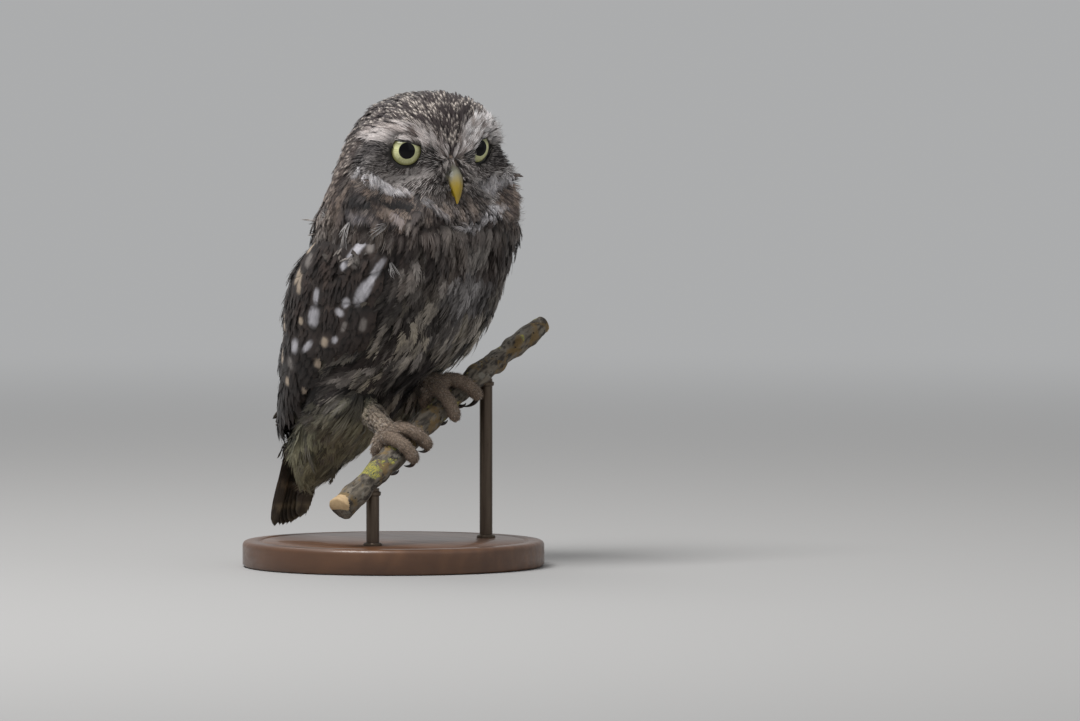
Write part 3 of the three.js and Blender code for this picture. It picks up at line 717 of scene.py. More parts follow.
eyeMaterial, net = newMaterial("eye", Roughness=0.04, Coat_Weight=0.08, Coat_Roughness=0.01, IOR=1.25)
flat = net.add("ShaderNodeSeparateXYZ", {0: net.mark("disc", "Vector")})
reach = net.math("SQRT", net.plus(net.times(flat, flat), net.times(flat.outputs[1], flat.outputs[1])))
way = net.math("ARCTAN2", flat.outputs[1], flat)
spokes = net.add("ShaderNodeCombineXYZ", {0: net.times(net.math("COSINE", way), 9.0),
    1: net.times(net.math("SINE", way), 9.0), 2: net.times(reach, 1.6)})
fibre = net.noise(spokes, 1.6, 5.0, Roughness=0.65)
tone = net.blend(net.ramp(fibre, 0.3, 0.7), paint(186, 186, 134), paint(220, 220, 174))
tone = net.over(tone, reach, 0.74, 0.98, (152, 150, 96))
tone = net.over(tone, reach, 0.66, 0.56, (202, 204, 156))
tone = net.over(tone, reach, 0.93, 1.0, (20, 18, 17))
# painted shadow: the iris darkens towards its top, as under the lid and brow
tone = net.over(tone, flat.outputs[1], 0.12, 0.5, (34, 34, 26), 0.0, 0.6)
tone = net.over(tone, reach, eye["pupil"] + 0.015, eye["pupil"] - 0.015, (0, 0, 2))
net.base(tone)
net.bump(fibre, 0.08, 0.0002)

lidMaterial, net = newMaterial("lids", Roughness=0.5)
coords = net.coords()
wrinkle = net.noise(coords, 1300.0, 4.0)
rimMark = net.mark("rim")
tone = net.blend(wrinkle, paint(58, 52, 50), paint(84, 77, 74))
net.base(net.blend(rimMark, tone, paint(14, 13, 14)))
net.bump(wrinkle, 0.5, 0.0004)

lid = {"open": 49.5, "cut": 3.1, "tilt": 13, "soft": 3.0, "sides": 96,
    "rows": [0, 0.6, 1.5, 3, 5.5, 9, 15, 24, 36],
    "radii": [9.52, 9.78, 10.0, 10.1, 10.12, 10.1, 9.95, 9.8, 9.3]}
lidPieces = []
for side, name in ((-1, "right"), (1, "left")):
    polar = np.linspace(0, 1, 49) ** 0.85 * math.pi
    iris, look, centre, across, up = eyeFrame(side)
    radius = eye["ball"] + eye["cornea"] * np.clip(1 - (np.degrees(polar) / 49) ** 2, 0, 1) ** 1.5

    def ballRing(t, angle):
        k = 1 + int(round(t * 46))
        return eyeShell(side, polar[k], angle, radius[k])

    shape, faces = loft(46, 72, lambda t: eyeShell(side, polar[-t], 0.0, radius[-t]), ballRing)
    mesh = outward(meshFrom("eyeBall", shape, faces))
    off = points(mesh) - iris
    plane = rowsOf(dot(off, across), dot(off, up), dot(off, look)) / eye["iris"]
    behind = plane[:, 2] < -0.6  # the back of the ball is dark
    plane[behind, 0] += 5
    plane[:, 0] -= eye["glance"][side > 0] * np.maximum(1 - plane[:, 0] ** 2 - plane[:, 1] ** 2, 0)
    addMark(mesh, "disc", plane)
    finished(newObject("eyeball_" + name, mesh), "eye", "eye_" + name, material=eyeMaterial)

    # Lids: the upper one lies low over the iris and slopes down to the bill
    turn = np.arange(lid["sides"]) * math.pi * 2 / lid["sides"]
    lean = np.sin(turn - side * math.radians(lid["tilt"]))
    cut = lid["cut"] / np.maximum(eye["ball"] * np.maximum(lean, 1e-3), lid["cut"] * 1.001)
    brow = np.degrees(np.arcsin(np.clip(cut, 0, 1)))
    brow = np.where(lean > 0.05, brow, 90)
    edge = -lid["soft"] * np.logaddexp(-lid["open"] / lid["soft"], -brow / lid["soft"])
    rows = [eyeShell(side, np.radians(edge + step), turn, r) for step, r in zip(lid["rows"], lid["radii"])]
    faces = gridFaces(len(rows) - 1, lid["sides"], closed=True)
    mesh = outward(meshFrom("lid", np.concatenate(rows), faces))
    rim = np.concatenate([np.full(lid["sides"], fade(step, 3.0, 8.0)) for step in lid["rows"]])
    addMark(mesh, "rim", rim)
    lidPieces.append(finished(newObject("lids_" + name, mesh), "plumage_head", material=lidMaterial))

# Bill: a hooked upper part over a short lower one
bill = {
    "upper": {"path": [[14, -3], [25, 0.5], [30.4, -8], [28.6, -16.8]], "wide": 5.9, "high": 5.0},
    "lower": {"path": [[14, -9], [22, -9.2], [24.8, -11.2], [25.4, -13.6]], "wide": 3.7, "high": 2.2},
    "tip": 0.35, "taper": 1.8, "ridge": 0.28, "nostril": (4.4, 24.6, -2.4),
}


def bezier(path, t):
    a, b, c, d = [fromHead(0, f, u) for f, u in path]
    t = np.asarray(t, float)[..., None]
    return a * (1 - t) ** 3 + 3 * b * t * (1 - t) ** 2 + 3 * c * t * t * (1 - t) + d * t ** 3


def billShape(part, keel):
    left = headWay(1, 0, 0)

    def ring(t, angle):
        at = bezier(part["path"], t)
        way = unit(bezier(part["path"], min(t + 0.01, 1)) - bezier(part["path"], max(t - 0.01, 0)))
        out = unit(np.cross(way, left))
        wide = mix(part["wide"], bill["tip"], t ** bill["taper"])
        high = mix(part["high"], bill["tip"], t ** bill["taper"])
        ridge = 1 - keel * np.maximum(np.sin(angle), 0) ** 2
        lip = 1 + 0.05 * np.exp(-((np.sin(angle) + 0.55) / 0.18) ** 2)
        aside, above = wide * np.cos(angle) * ridge * lip, high * np.sin(angle)
        return at + aside[:, None] * left + above[:, None] * out

    return loft(56, 40, lambda t: bezier(part["path"], float(t)), ring)


billMaterial, net = newMaterial("bill", Roughness=0.33, Coat_Weight=0.3)
coords = net.coords()
along = net.mark("along")
cloud = net.noise(coords, 420.0, 4.0)
stripes = grainOf(net, coords, (1.0, 1.0, 0.15), 1500.0)
shift = net.plus(along, net.linear(cloud, 0.16, -0.08))
tone = net.blend(net.ramp(shift, 0.44, 0.74), paint(122, 123, 112), paint(152, 128, 24))
tone = net.over(tone, shift, 0.86, 1.0, (184, 152, 40))
tone = net.blend(net.times(stripes, 0.3), tone, paint(118, 98, 22))
# the nostrils are painted dark, a painted shade inside their openings
pit = net.mark("pit")
net.base(net.blend(pit, tone, paint(38, 34, 28)))
net.bump(stripes.outputs[1], 0.12, 0.0003)
for name, keel in (("upper", bill["ridge"]), ("lower", 0.1)):
    shape, faces = billShape(bill[name], keel)
    steps = np.minimum(np.arange(len(shape)) // 40, 56) / 56
    steps[-2:] = (0, 1)
    # Nostrils: dents in the upper bill, marked to be painted dark as the shade inside the openings
    pits = np.zeros(len(shape))
    if name == "upper":
        for side in (-1, 1):
            left, forward, up = bill["nostril"]
            gone = np.linalg.norm(shape - fromHead(side * left, forward, up), axis=1)
            pits += np.exp(-(gone / 1.15) ** 2)
        shape = shape - unit(shape - bezier(bill["upper"]["path"], steps)) * (0.8 * pits)[:, None]
    mesh = meshFrom("bill", shape, faces, marks={"along": steps, "pit": np.clip(pits * 1.3, 0, 1)})
    piece = newObject("bill_" + name + "_horn", outward(mesh))
    finished(piece, "bill", "bill_" + name, material=billMaterial)
print("eyes and bill")

# Skin: the flesh as one smooth surface, inside the solids by the coat's depth
skinSize = {"voxel": 1.3, "swell": 0.3, "rounds": 9, "body": 3.6, "crown": 2.5, "face": 1.5, "bare": 0.25,
    "legVoxel": 0.55, "legRounds": 3}
fleshNodes = ["head", "neck", "torso", "thigh_right", "thigh_left", "wing_right", "wing_left"]


def coatDepth(p):
    q = toHead(p)
    eyeGap = np.minimum(*[np.linalg.norm(p - eyeFrame(side)[0], axis=-1) for side in (-1, 1)])
    billGap = np.linalg.norm(q - np.array([0, 22, -6.0]), axis=-1)
    depth = mix(skinSize["body"], skinSize["crown"], smooth(p[..., 2], 158, 176))
    depth = mix(depth, skinSize["face"], smooth(q[..., 1], 4, 12) * smooth(p[..., 2], 160, 168))
    return np.maximum(depth * smooth(eyeGap, 6.5, 12.5) * smooth(billGap, 5, 11), skinSize["bare"])


def largestShell(bm):
    left, best = set(bm.verts), []
    while left:
        start = left.pop()
        shell, edge = [start], [start]
        while edge:
            vertex = edge.pop()
            for link in vertex.link_edges:
                other = link.other_vert(vertex)
                if other in left:
                    left.discard(other)
                    shell.append(other)
                    edge.append(other)
        if len(shell) > len(best):
            best = shell
    keep = set(best)
    bmesh.ops.delete(bm, geom=[v for v in bm.verts if v not in keep], context="VERTS")


def remeshed(name, meshes, voxel, rounds):
    thing = newObject(name, smoothMesh(name, meshes))
    remesh = thing.modifiers.new("voxels", "REMESH")
    remesh.mode = "VOXEL"
    remesh.voxel_size = voxel * mm
    soften = thing.modifiers.new("soften", "SMOOTH")
    soften.factor = 0.5
    soften.iterations = rounds
    mesh = plainMesh(thing, name)
    bpy.data.objects.remove(thing)
    bm = bmesh.new()
    bm.from_mesh(mesh)
    largestShell(bm)
    bm.to_mesh(mesh)
    bm.free()
    mesh.polygons.foreach_set("use_smooth", [True] * len(mesh.polygons))
    return mesh


def swollenCopy(node, swell):
    mesh = outward(frame["nodes"][node].data.copy())
    placePoints(mesh, points(mesh) + normals(mesh) * swell)
    return mesh


bodySkin = remeshed("bodySkin", [swollenCopy(n, skinSize["swell"]) for n in fleshNodes],
    skinSize["voxel"], skinSize["rounds"])
inner = points(bodySkin) - normals(bodySkin) * coatDepth(points(bodySkin))[:, None]
inner += np.array([1.07, -1.19, 0]) * smooth(inner[:, 2], 196, 210)[:, None]  # the crown leans a little
left, forward, up = toHead(inner).T
# The head is a little narrower at its upper right and its lower left
inner += headWay(1, 0, 0) * 2.6 * (smooth(-left, 16, 28) * smooth(up, 0, 12) * fade(forward, 5, 13))[:, None]
inner -= headWay(1, 0, 0) * 2.4 * (smooth(left, 20, 30) * smooth(up, -32, -20) * fade(up, -9, -2))[:, None]
placePoints(bodySkin, inner)

# Legs, feet and toes, with pads under the toes; the same ways as in the solids
feet = {"right": -18, "left": 17, "lean": -0.35, "size": np.array([6.2, 6, 4.2]), "rise": 3.6}
toe = {"root": 3.4, "tip": 2.9, "start": 0.25, "turn": 2.05, "rounded": 0.86, "pad": 0.32, "pads": 4}
claw = {"radius": 1.4, "start": 2.2, "turn": 0.85, "taper": 0.9, "reach": 1.3}
toeTurns = {1: -1, 2: 1, 3: 1, 4: -1}
toeSpread = {
    "right": {1: (3.4, 7), 2: (-2.6, -3.5), 3: (3.2, 6.5), 4: (-3.4, -6)},
    "left": {1: (-3.4, -6), 2: (3.4, 7.5), 3: (-3.4, -9.5), 4: (3.4, 7)},
}
heels = {"right": np.array([-14.5, 10, 74.0]), "left": np.array([18, 8, 84.0])}
shank = {"top": 5.2, "narrower": 1.2, "bow": 1.6}


def gripPoint(x, turn, reach):
    x, turn, reach = np.broadcast_arrays(np.asarray(x, float), turn, reach)
    axis = unit(perchWay(x + 1) - perchWay(x - 1))
    forward = np.array([0, -1.0, 0])
    up = unit(np.cross(forward, axis))
    return perchWay(x) + reach[..., None] * (np.cos(turn)[..., None] * up + np.sin(turn)[..., None] * forward)


def gripLoft(rows, sides, way, radius):
    axis = np.array([1, 0, perch["slope"]])

    def ring(t, angle):
        ahead = unit(way(min(t + 0.02, 1.0)) - way(max(t - 0.02, 0.0)))
        out = unit(np.cross(ahead, axis))
        across = np.cross(out, ahead)
        return way(t) + radius(t, angle)[:, None] * (np.cos(angle)[:, None] * across
            + np.sin(angle)[:, None] * out)

    return loft(rows, sides, way, ring)


def toeWay(side, number):
    root, tip = toeSpread[side][number]
    away = toeTurns[number]

    def way(t):
        turn = away * (toe["start"] + toe["turn"] * t) + feet["lean"]
        lift = (2.6 if away > 0 else 1.2) * t * t
        reach = perch["radius"] + toe["root"] + 0.2 + lift
        return gripPoint(feet[side] + root + (tip - root) * t, turn, reach)

    return way


def toeRadius(t, angle):
    past = max(0.0, t - toe["rounded"]) / (1.004 - toe["rounded"])
    swell = toe["pad"] * math.sin(t * math.pi * 2 * toe["pads"]) * (0.45 + 0.55 * (np.sin(angle) < 0))
    return (mix(toe["root"], toe["tip"], t) + swell) * math.sqrt(max(0.02, 1 - past * past))


def footMiddle(side):
    return gripPoint(feet[side], feet["lean"], perch["radius"] + feet["rise"])


def legMeshes(side):
    end, start = footMiddle(side) + [0, 0, 1.2], heels[side]

    def shankWay(t):
        return mix(start, end, t) + np.array([0, 0, shank["bow"] * math.sin(math.pi * t)])

    shapes = [gripLoft(24, 28, shankWay, lambda t, angle: shank["top"] - shank["narrower"] * t + 0 * angle)]
    shapes += [gripLoft(40, 24, toeWay(side, number), toeRadius) for number in toes]
    bm = bmesh.new()
    tilt = Matrix.Rotation(-math.atan(perch["slope"]), 4, "Y")
    size = Matrix.Diagonal(Vector(feet["size"] * mm)).to_4x4()
    bmesh.ops.create_icosphere(bm, subdivisions=4, radius=1,
        matrix=Matrix.Translation(footMiddle(side) * mm) @ tilt @ size)
    foot = bpy.data.meshes.new("foot")
    bm.to_mesh(foot)
    bm.free()
    return [outward(meshFrom("leg", *shape)) for shape in shapes] + [foot]


legSkins = [remeshed("legSkin", legMeshes(side), skinSize["legVoxel"], skinSize["legRounds"])
    for side in sides]
skinMesh = smoothMesh("skin", [bodySkin] + legSkins)
skin = newObject("skin", skinMesh)
bodyCount = len(bodySkin.vertices)
print("skin", len(skinMesh.polygons))

# Claws
clawMaterial = grainMaterial("claw", 900.0, paint(14, 14, 17), paint(44, 42, 44), 0.1, 0.0002,
    Roughness=0.28, Coat_Weight=0.4)
shapes = []
for side in sides:
    for number in toes:
        tip = toeSpread[side][number][1]
        away = toeTurns[number]
        start = perch["radius"] + toe["root"] + (2.4 if away > 0 else 1.0)
        inward = -0.5 * tip if side == "left" and away > 0 else 0.0

        def clawWay(t):
            turn = away * (claw["start"] - 0.12 + (claw["turn"] + 0.12) * t) + feet["lean"]
            reach = start - (start - perch["radius"] - claw["reach"]) * t ** 1.4
            return gripPoint(feet[side] + tip + inward * t, turn, reach)

        def clawRadius(t, angle):
            return claw["radius"] * 1.1 * (1 - claw["taper"] * t ** 1.15) * (1 + 0 * angle)

        shapes.append(outward(meshFrom("claw", *gripLoft(22, 16, clawWay, clawRadius))))
clawNodes = [f"claw_{side}_{number}" for side in sides for number in toes]
finished(newObject("claws", smoothMesh("claws", shapes)), "claw", *clawNodes, material=clawMaterial)
print("claws")

# Markings, shared by the skin and the coat
tones = {
    "crown": (58, 50, 50), "crownLight": (96, 86, 83), "cream": (214, 203, 192),
    "brow": (196, 185, 180), "browLight": (250, 245, 244), "browDark": (96, 82, 76),
    "face": (72, 64, 61),
    "faceLight": (204, 197, 193), "white": (214, 210, 212), "black": (34, 31, 31),
    "grey": (140, 136, 140), "light": (146, 143, 143),
    "dusk": (44, 39, 39), "tan": (150, 133, 120), "collar": (70, 59, 55),
    "night": (46, 39, 38), "nape": (82, 71, 66), "breast": (56, 47, 43),
    "pale": (162, 155, 149), "belly": (142, 134, 120), "streak": (30, 24, 21),
    "vent": (156, 153, 126), "brown": (74, 62, 52), "mid": (104, 96, 90),
    "mantle": (66, 55, 48), "leg": (168, 154, 138), "toe": (148, 129, 112),
}
tones = {key: paint(*tone) for key, tone in tones.items()}
# Lines on the head: places left, forward and up from its centre
browLow = ((0, 5, 9, 15.7, 22, 29, 36), (6.2, 6, 6.6, 9.6, 11.5, 11.2, 13))
browHigh = ((0, 2, 4, 9.6, 15.7, 23, 30, 36), (9.0, 11, 13.5, 18, 21.4, 23.1, 20.3, 17))
rimLine = np.array([
    (-38.5, 8, -5), (-36.5, 16.3, -8.4), (-31.3, 16.6, -10.3), (-26.5, 17.4, -11.7), (-22.3, 19.2, -12.9),
    (-16.9, 23.6, -14.9), (-13, 28.6, -19), (-8.9, 29, -24.1), (-4, 28.9, -27.8), (1.7, 28.4, -29.3),
    (7.8, 27.2, -28.5), (14.2, 25.4, -27.2), (19, 24.7, -24.6), (22.1, 25.7, -21.8), (28.5, 22.5, -19.2)])
rimEdge = np.array([(-40, -5.5), *rimLine[1:-1, ::2], (28.5, -17), (32, -12), (36, -7), (40, -5)])
headLines = [  # places, half width, tone, weight, both sides
    (((26, 17, -11.5), (31.3, 16.6, -9), (36.5, 14, -7), (38.5, 8, -5)), 1.9, "white", 0.85),
    (((21.5, 18, -10), (25, 17.3, -11), (27.5, 16.2, -9.2)), 3.2, "white", 0.9),
    (((-43.7, 2, -25), (-42.8, 15.2, -25), (-38.2, 21.8, -26), (-32.8, 25.2, -27.5)),
     2.6, "grey", 0.5),
    # a painted shadow: the black line under the white rim on the owl's right side
    (((-44, 9, -17), (-41.2, 17.8, -18.2), (-34.1, 20.2, -19.2), (-28, 20.7, -20), (-24.1, 23.1, -21)),
     3.0, "black", 1.0),
    # a painted shadow: the dark line between the white cheek and the ruff on the owl's left side
    (((31, 15.2, -6), (31.5, 17.4, -12), (28, 20.6, -17)), 1.4, "night", 0.75),
    (((36, 12, -7), (37, 12.5, -14), (35, 15, -21)), 3.0, "grey", 0.8),
    (((-14, 22.3, 8.9), (-12.2, 22.9, 4.7), (-11, 22.8, 1)), 3.0, "black", 0.95, True),
    (((-6, 24.9, 2.4), (-7.5, 25.2, -2.2), (-9, 24.8, -6.8), (-11, 24.2, -10.4)), 2.6, "night", 0.75, True),
]
# Marks on the body: heights and angles from the nose, half width, tone, weight
bodyMarks = [
    (((148, -24), (144, -13)), 4.5, "mid", 0.55), (((154, 2), (141, 0)), 4.2, "pale", 0.75),
    (((158, 20), (144, 20)), 2.4, "night", 0.9), (((129, -3), (122, 5)), 7.5, "light", 0.7),
    # The first mark here is painted shade in the gap along the front edge of the folded wing, on both sides
    (((150, -50), (140, -55), (114, -56)), 4.6, "night", 1.0), (((133, -42), (126, -32)), 5.5, "mid", 0.7),
    (((143, -20), (133, -24)), 3.2, "night", 0.85), (((116, -38), (106, -52)), 3.5, "mid", 0.7),
    (((104, -28), (97, -48), (90, -68)), 2.6, "night", 0.9),
    (((96, -28), (91, -50), (84, -76)), 2.8, "pale", 0.65),
    (((89, -28), (82, -46), (77, -72)), 2.4, "night", 0.9),
    (((110, -1), (101, -9), (92, -18)), 4.0, "pale", 0.6),
    (((62, -42), (66, -80)), 4.5, "brown", 0.75), (((112, 12), (100, 8), (90, 0)), 2.6, "night", 0.8),
]


def onHead(q):  # the head's coordinates, taken out to the feathers' surface
    deep = mix(38.0, 25.0, smooth(q[:, 1], -2, 6))
    tall = np.where(q[:, 2] > 0, 34.0, 32.0)
    size = (np.abs(q[:, 0] / 38) ** 2.25 + np.abs(q[:, 1] / deep) ** 2.25 + np.abs(q[:, 2] / tall) ** 2.25)
    out = np.maximum(size, 0.3) ** (-1 / 2.25)
    return q * mix(out, 1, smooth(-q[:, 2], 18, 26))[:, None]


def toLine(q, line):  # how far points are from a line through places
    gaps = []
    for a, b in zip(line[:-1], line[1:]):
        t = np.clip(dot(q - a, b - a) / dot(b - a, b - a), 0, 1)
        gaps.append(np.linalg.norm(q - a - t[:, None] * (b - a), axis=1))
    return np.min(gaps, axis=0)


def bodyFlow(p):  # how far the coat is swept back, from 0 to 1
    turned = turnedBy(p)
    sweep = smooth(turned, 18, 66) * fade(turned, 125, 165)
    return sweep * (1 - 0.75 * smooth(p[:, 2], 128, 150)) * smooth(p[:, 2], 50, 85)


def eyeGaps(p):
    return [np.linalg.norm(p - eyeFrame(side)[0], axis=1) for side in (-1, 1)]


def lieAt(p, out):
    down = np.array([0, 0, -1.0])
    swept = bodyFlow(p)
    flow = rowsOf(0, mix(0.2, 1.3, swept), -1.0)
    aside = np.cross(out, down) * ((speckle(p, 9.0, 41) - 0.5) * 1.3)[:, None]
    flow = flow + aside * fade(p[:, 2], 150, 160)[:, None]
    q = toHead(p)
    away = unit(p - fromHead(0, 24, 1.5))
    around = away + down * (1.3 * smooth(-q[:, 1], -4, 26) + 0.9 * smooth(-q[:, 2], 4, 16))[:, None]
    for side in (-1, 1):
        gone = p - eyeFrame(side)[0]
        near = np.exp(-(np.linalg.norm(gone, axis=1) / 11) ** 2) * fade(q[:, 2] - eye["up"][0], 0, 5)
        around = mixRows(around, unit(gone), 0.85 * near)
    return flatTo(mixRows(unit(flow), unit(around), smooth(p[:, 2], 156, 170)), out)


def spokes(p, fine, long, seed):  # streaks that run away from the nearer eye and from the bill's root
    gaps = eyeGaps(p)
    side = np.where(gaps[0] < gaps[1], -1, 1)[:, None]
    iris = np.where(side < 0, eyeFrame(-1)[0], eyeFrame(1)[0])
    root = fromHead(0, 25, 1.0)
    values = []
    for centre in (iris, root):
        gone = toHead(p - centre + form["headCentre"])
        reach = np.linalg.norm(gone, axis=1)
        turn = np.arctan2(gone[:, 2], gone[:, 0])
        values.append(speckle(rowsOf(turn * 14 / fine, reach / long, 0.7 * side[:, 0]), 1.0, seed))
    near = 1 - smooth(np.minimum(*gaps), 9, 16)
    return mix(values[1], values[0], near)


def plumage(p, chance):
    count = len(p)
    q = onHead(toHead(p))
    left, forward, up = np.abs(q[:, 0]), q[:, 1], q[:, 2]
    z = p[:, 2]
    angle = np.degrees(bodyAngle(p))
    turned = np.abs(angle)
    fray = (speckle(p, 2.6, 1) - 0.5) * 3.2
    cloud = speckle(p, 7.0, 2)
    grit = speckle(p, 2.0, 3)

    def layer(weight, tone):
        nonlocal shade
        shade = mixRows(shade, tones[tone], np.clip(weight, 0, 1))

    # Body: dark streaks and pale ones that follow the lie of the coat
    swept = bodyFlow(p)
    slope = np.radians(mix(4, 54, swept)) * np.sign(bodyAngle(p))
    around = bodyAngle(p) * 45
    along = z * np.cos(slope) - around * np.sin(slope)
    across = z * np.sin(slope) + around * np.cos(slope)
    streak = speckle(rowsOf(across / 5.6, along / 19, 0), 1.0, 5)
    fine = speckle(rowsOf(across / 2.6, along / 11, 0), 1.0, 6)
    blot = speckle(rowsOf(across / 10, along / 14, 0), 1.0, 7)
    shade = np.tile(tones["belly"], (count, 1))
    layer(smooth(cloud, 0.3, 0.8) * 0.5, "pale")
    drawn = streak + 0.3 * (fine - 0.5)
    layer(smooth(drawn, mix(0.45, 0.4, smooth(turned, 15, 50)), 0.53) * 0.97, "streak")
    high = smooth(z + 9 * (blot - 0.5), 112, 134)
    upper = np.tile(tones["breast"], (count, 1))
    rare = 0.12 * smooth(z, 128, 142)
    upper = mixRows(upper, tones["pale"], smooth(blot + 0.22 * (fine - 0.5) - rare, 0.48, 0.68) * 0.8)
    shade = mixRows(shade, upper, high * 0.9)
    layer(smooth(turned, 112, 128), "mantle")
    under = smooth(68 - z + 12 * (cloud - 0.5), -6, 10) * fade(turned, 128, 150)
    layer(under * (1 - 0.7 * smooth(drawn, 0.56, 0.64)), "vent")
    kind = np.zeros((count, 3))
    kind[:, 0] = np.where(chance < 0.35, 0.3, 0.0)
    spotted = smooth(turned, 112, 128) * (chance > 0.82)
    kind[:, 1] = spotted
    kind[:, 0] *= 1 - spotted
    for places, wide, tone, weight in bodyMarks:
        for mirror in (1, -1) if abs(places[0][1]) > 35 else (1,):
            line = np.array([(height, 0.66 * turn * mirror, 0) for height, turn in places], float)
            near = toLine(rowsOf(z, 0.66 * angle, 0), line)
            near = smooth(wide * (0.55 + 0.9 * fine) - near, -2.0, 2.0)
            near = near * (0.7 + 0.3 * smooth(streak + 0.3 * (chance - 0.5), 0.35, 0.55))
            kind = kind * (1 - near * (tone == "night"))[:, None]
            layer(near * weight * fade(turned, 100, 112), tone)
    darkness = 1 - smooth(shade.sum(1), 0.2, 0.8)
    markTone = mixRows(np.tile(tones["streak"], (count, 1)), tones["pale"], darkness)

    broken = smooth(fine + 0.35 * (streak - 0.5), 0.54, 0.62) * mix(0.8, 0.45, high)
    layer(broken * fade(turned, 100, 112) * (1 - 0.75 * under), "streak")

    # Head
    raw = toHead(p)
    nape = smooth(z + 8 * (cloud - 0.5), 146, 164)
    layer(nape, "nape")
    layer(nape * smooth(cloud, 0.5, 0.75) * 0.4, "crownLight")
    low, browTop = np.interp(left, *browLow), np.interp(left, *browHigh)
    browTop = browTop + 3.5 * smooth(q[:, 0], 1, 9)
    over = raw[:, 2] - np.interp(raw[:, 0], *rimEdge.T)
    crown = smooth(up - browTop + 0.6 * fray, -0.8, 1.2) + smooth(-forward, 0, 10) * smooth(up, 8, 16)
    crown = np.clip(crown, 0, 1)
    layer(crown, "crown")
    layer(crown * smooth(grit, 0.62, 0.85) * 0.4, "crownLight")
    ruff = nape * smooth(fray * 0.5 - over, -1, 1.5) * smooth(forward, -12, -2)
    layer(ruff * 0.9, "collar")
    layer(nape * fade(z, 154, 162) * smooth(forward, -6, 4) * (0.6 + 0.4 * smooth(fine, 0.4, 0.6)), "breast")
    layer(ruff * smooth(grit + 0.5 * (cloud - 0.5), 0.5, 0.72) * 0.25, "mid")
    layer(ruff * smooth(fine, 0.52, 0.62) * 0.8, "night")
    layer(ruff * fade(fine, 0.34, 0.44) * 0.45, "tan")
    light = nape * mix(0.85, 0.9, ruff)
    dashes = smooth(speckle(p, 2.6, 15), 0.3, 0.6)
    kind = mixRows(kind, np.array([1.0, 0.0, 0.0]), nape)
    kind = kind * (mix(1, 0.4, ruff) * mix(1, 0.35 + 0.65 * dashes, crown))[:, None]
    kind = kind * (1 - nape * (chance > mix(0.5, 0.5 + 0.4 * dashes, crown)))[:, None]
    fleck = mixRows(tones["tan"], tones["mid"], ruff)
    fleck = mixRows(fleck, tones["cream"], np.clip(crown + cloud - ruff, 0, 1))
    markTone = mixRows(markTone, fleck, light)
    face = smooth(low - up - 0.4 * fray, -0.8, 0.8) * smooth(forward, -5, 1)
    face = face * smooth(over + fray * 0.5, -1, 1) * nape
    ray = spokes(p, 1.6, 10.0, 8)
    gap = np.minimum(*eyeGaps(p))
    billGap = np.linalg.norm(q - np.array([0, 25.0, -3.5]), axis=1)
    layer(face, "face")
    bright = smooth(ray + 0.2 * (chance - 0.5), 0.48, 0.62)
    lit = mix(0.42, 0.68, smooth(-up, -4, 6)) * mix(1, 0.5, smooth(left, 26, 34))
    chin = face * smooth(-up, 11, 16) * fade(left, 14, 22)
    layer(face * bright * lit * (1 - 0.75 * chin), "faceLight")
    layer(face * fade(billGap, 7, 13) * smooth(ray, 0.35, 0.55) * 0.7, "tan")
    layer(chin * smooth(ray + 0.5 * (grit - 0.5), 0.4, 0.7) * 0.55, "tan")
    brow = smooth(up - low + 0.4 * fray, -0.8, 0.6) * smooth(browTop - up - 0.8 * fray, -1, 1)
    brow = brow * smooth(forward, -8, -2) * smooth(left, 0.5, 2.5)
    layer(brow, "brow")
    layer(brow * mix(0.3, 1, smooth(q[:, 0], 0, 14)) * smooth(ray, 0.26, 0.46), "browLight")
    layer(brow * smooth(spokes(p, 0.9, 8.0, 9) + 0.3 * (chance - 0.5), 0.58, 0.7) * 0.9, "browDark")
    lores = fade(left, 3, 9) * smooth(up, -1, 2) * smooth(9.5 - up, -1, 2) * smooth(forward, 12, 18)
    layer(lores * (0.4 + 0.6 * smooth(ray, 0.35, 0.6)), "tan")
    temple = np.exp(-((forward - 4) / 13) ** 2 - ((up - 6.5) / 9) ** 2) * smooth(left, 23, 29)
    layer(temple * (1.5 - 0.6 * smooth(ray, 0.45, 0.65)) * (1 - 0.7 * brow), "dusk")
    layer(fade(gap, 8.2, 10.2) * smooth(z, 160, 166) * (1 - brow), "black")
    aside = raw[:, 0]
    width = np.interp(aside, (-38, -32, -24, -14, -6, 2, 14, 24), (2.1, 2.5, 2.0, 1.1, 1.4, 2.0, 2.4, 2.4))
    white = smooth(width - toLine(raw, rimLine) + 0.45 * fray, -0.9, 0.9) * nape
    strong = np.interp(aside, (-39, -34, -28, -22, -14, -8, 0, 14, 24, 30),
        (0.5, 1, 1, 0.6, 0.4, 0.55, 0.65, 0.9, 0.9, 0.2))
    strong = strong * (0.6 + 0.4 * smooth(ray + 0.3 * (chance - 0.5), 0.3, 0.55))
    layer(white * strong, "white")
    for places, wide, tone, weight, *both in headLines:
        here = rowsOf(-left, raw[:, 1], raw[:, 2]) if both else raw
        near = smooth(wide - toLine(here, np.array(places, float)) + 0.5 * fray, -1, 1)
        if tone in ("white", "grey"):
            near = near * (0.5 + 0.5 * smooth(streak + 0.4 * (chance - 0.5), 0.35, 0.6))
            white = np.maximum(white, near * nape * (tone == "white"))
        layer(near * weight, tone)
        if tone in ("night", "black"):
            kind = kind * (1 - near * nape)[:, None]
    bare = np.clip(face + brow + white + lores, 0, 1)
    kind = mixRows(kind, np.array([0.5, 0, 0]), bare) * (1 - 0.85 * np.maximum(temple, lores))[:, None]
    kind = kind * (1 - 0.6 * chin)[:, None]
    strandTone = mixRows(tones["face"], tones["faceLight"], 1 - smooth(shade.sum(1), 0.25, 0.75))
    markTone = mixRows(markTone, strandTone, bare)
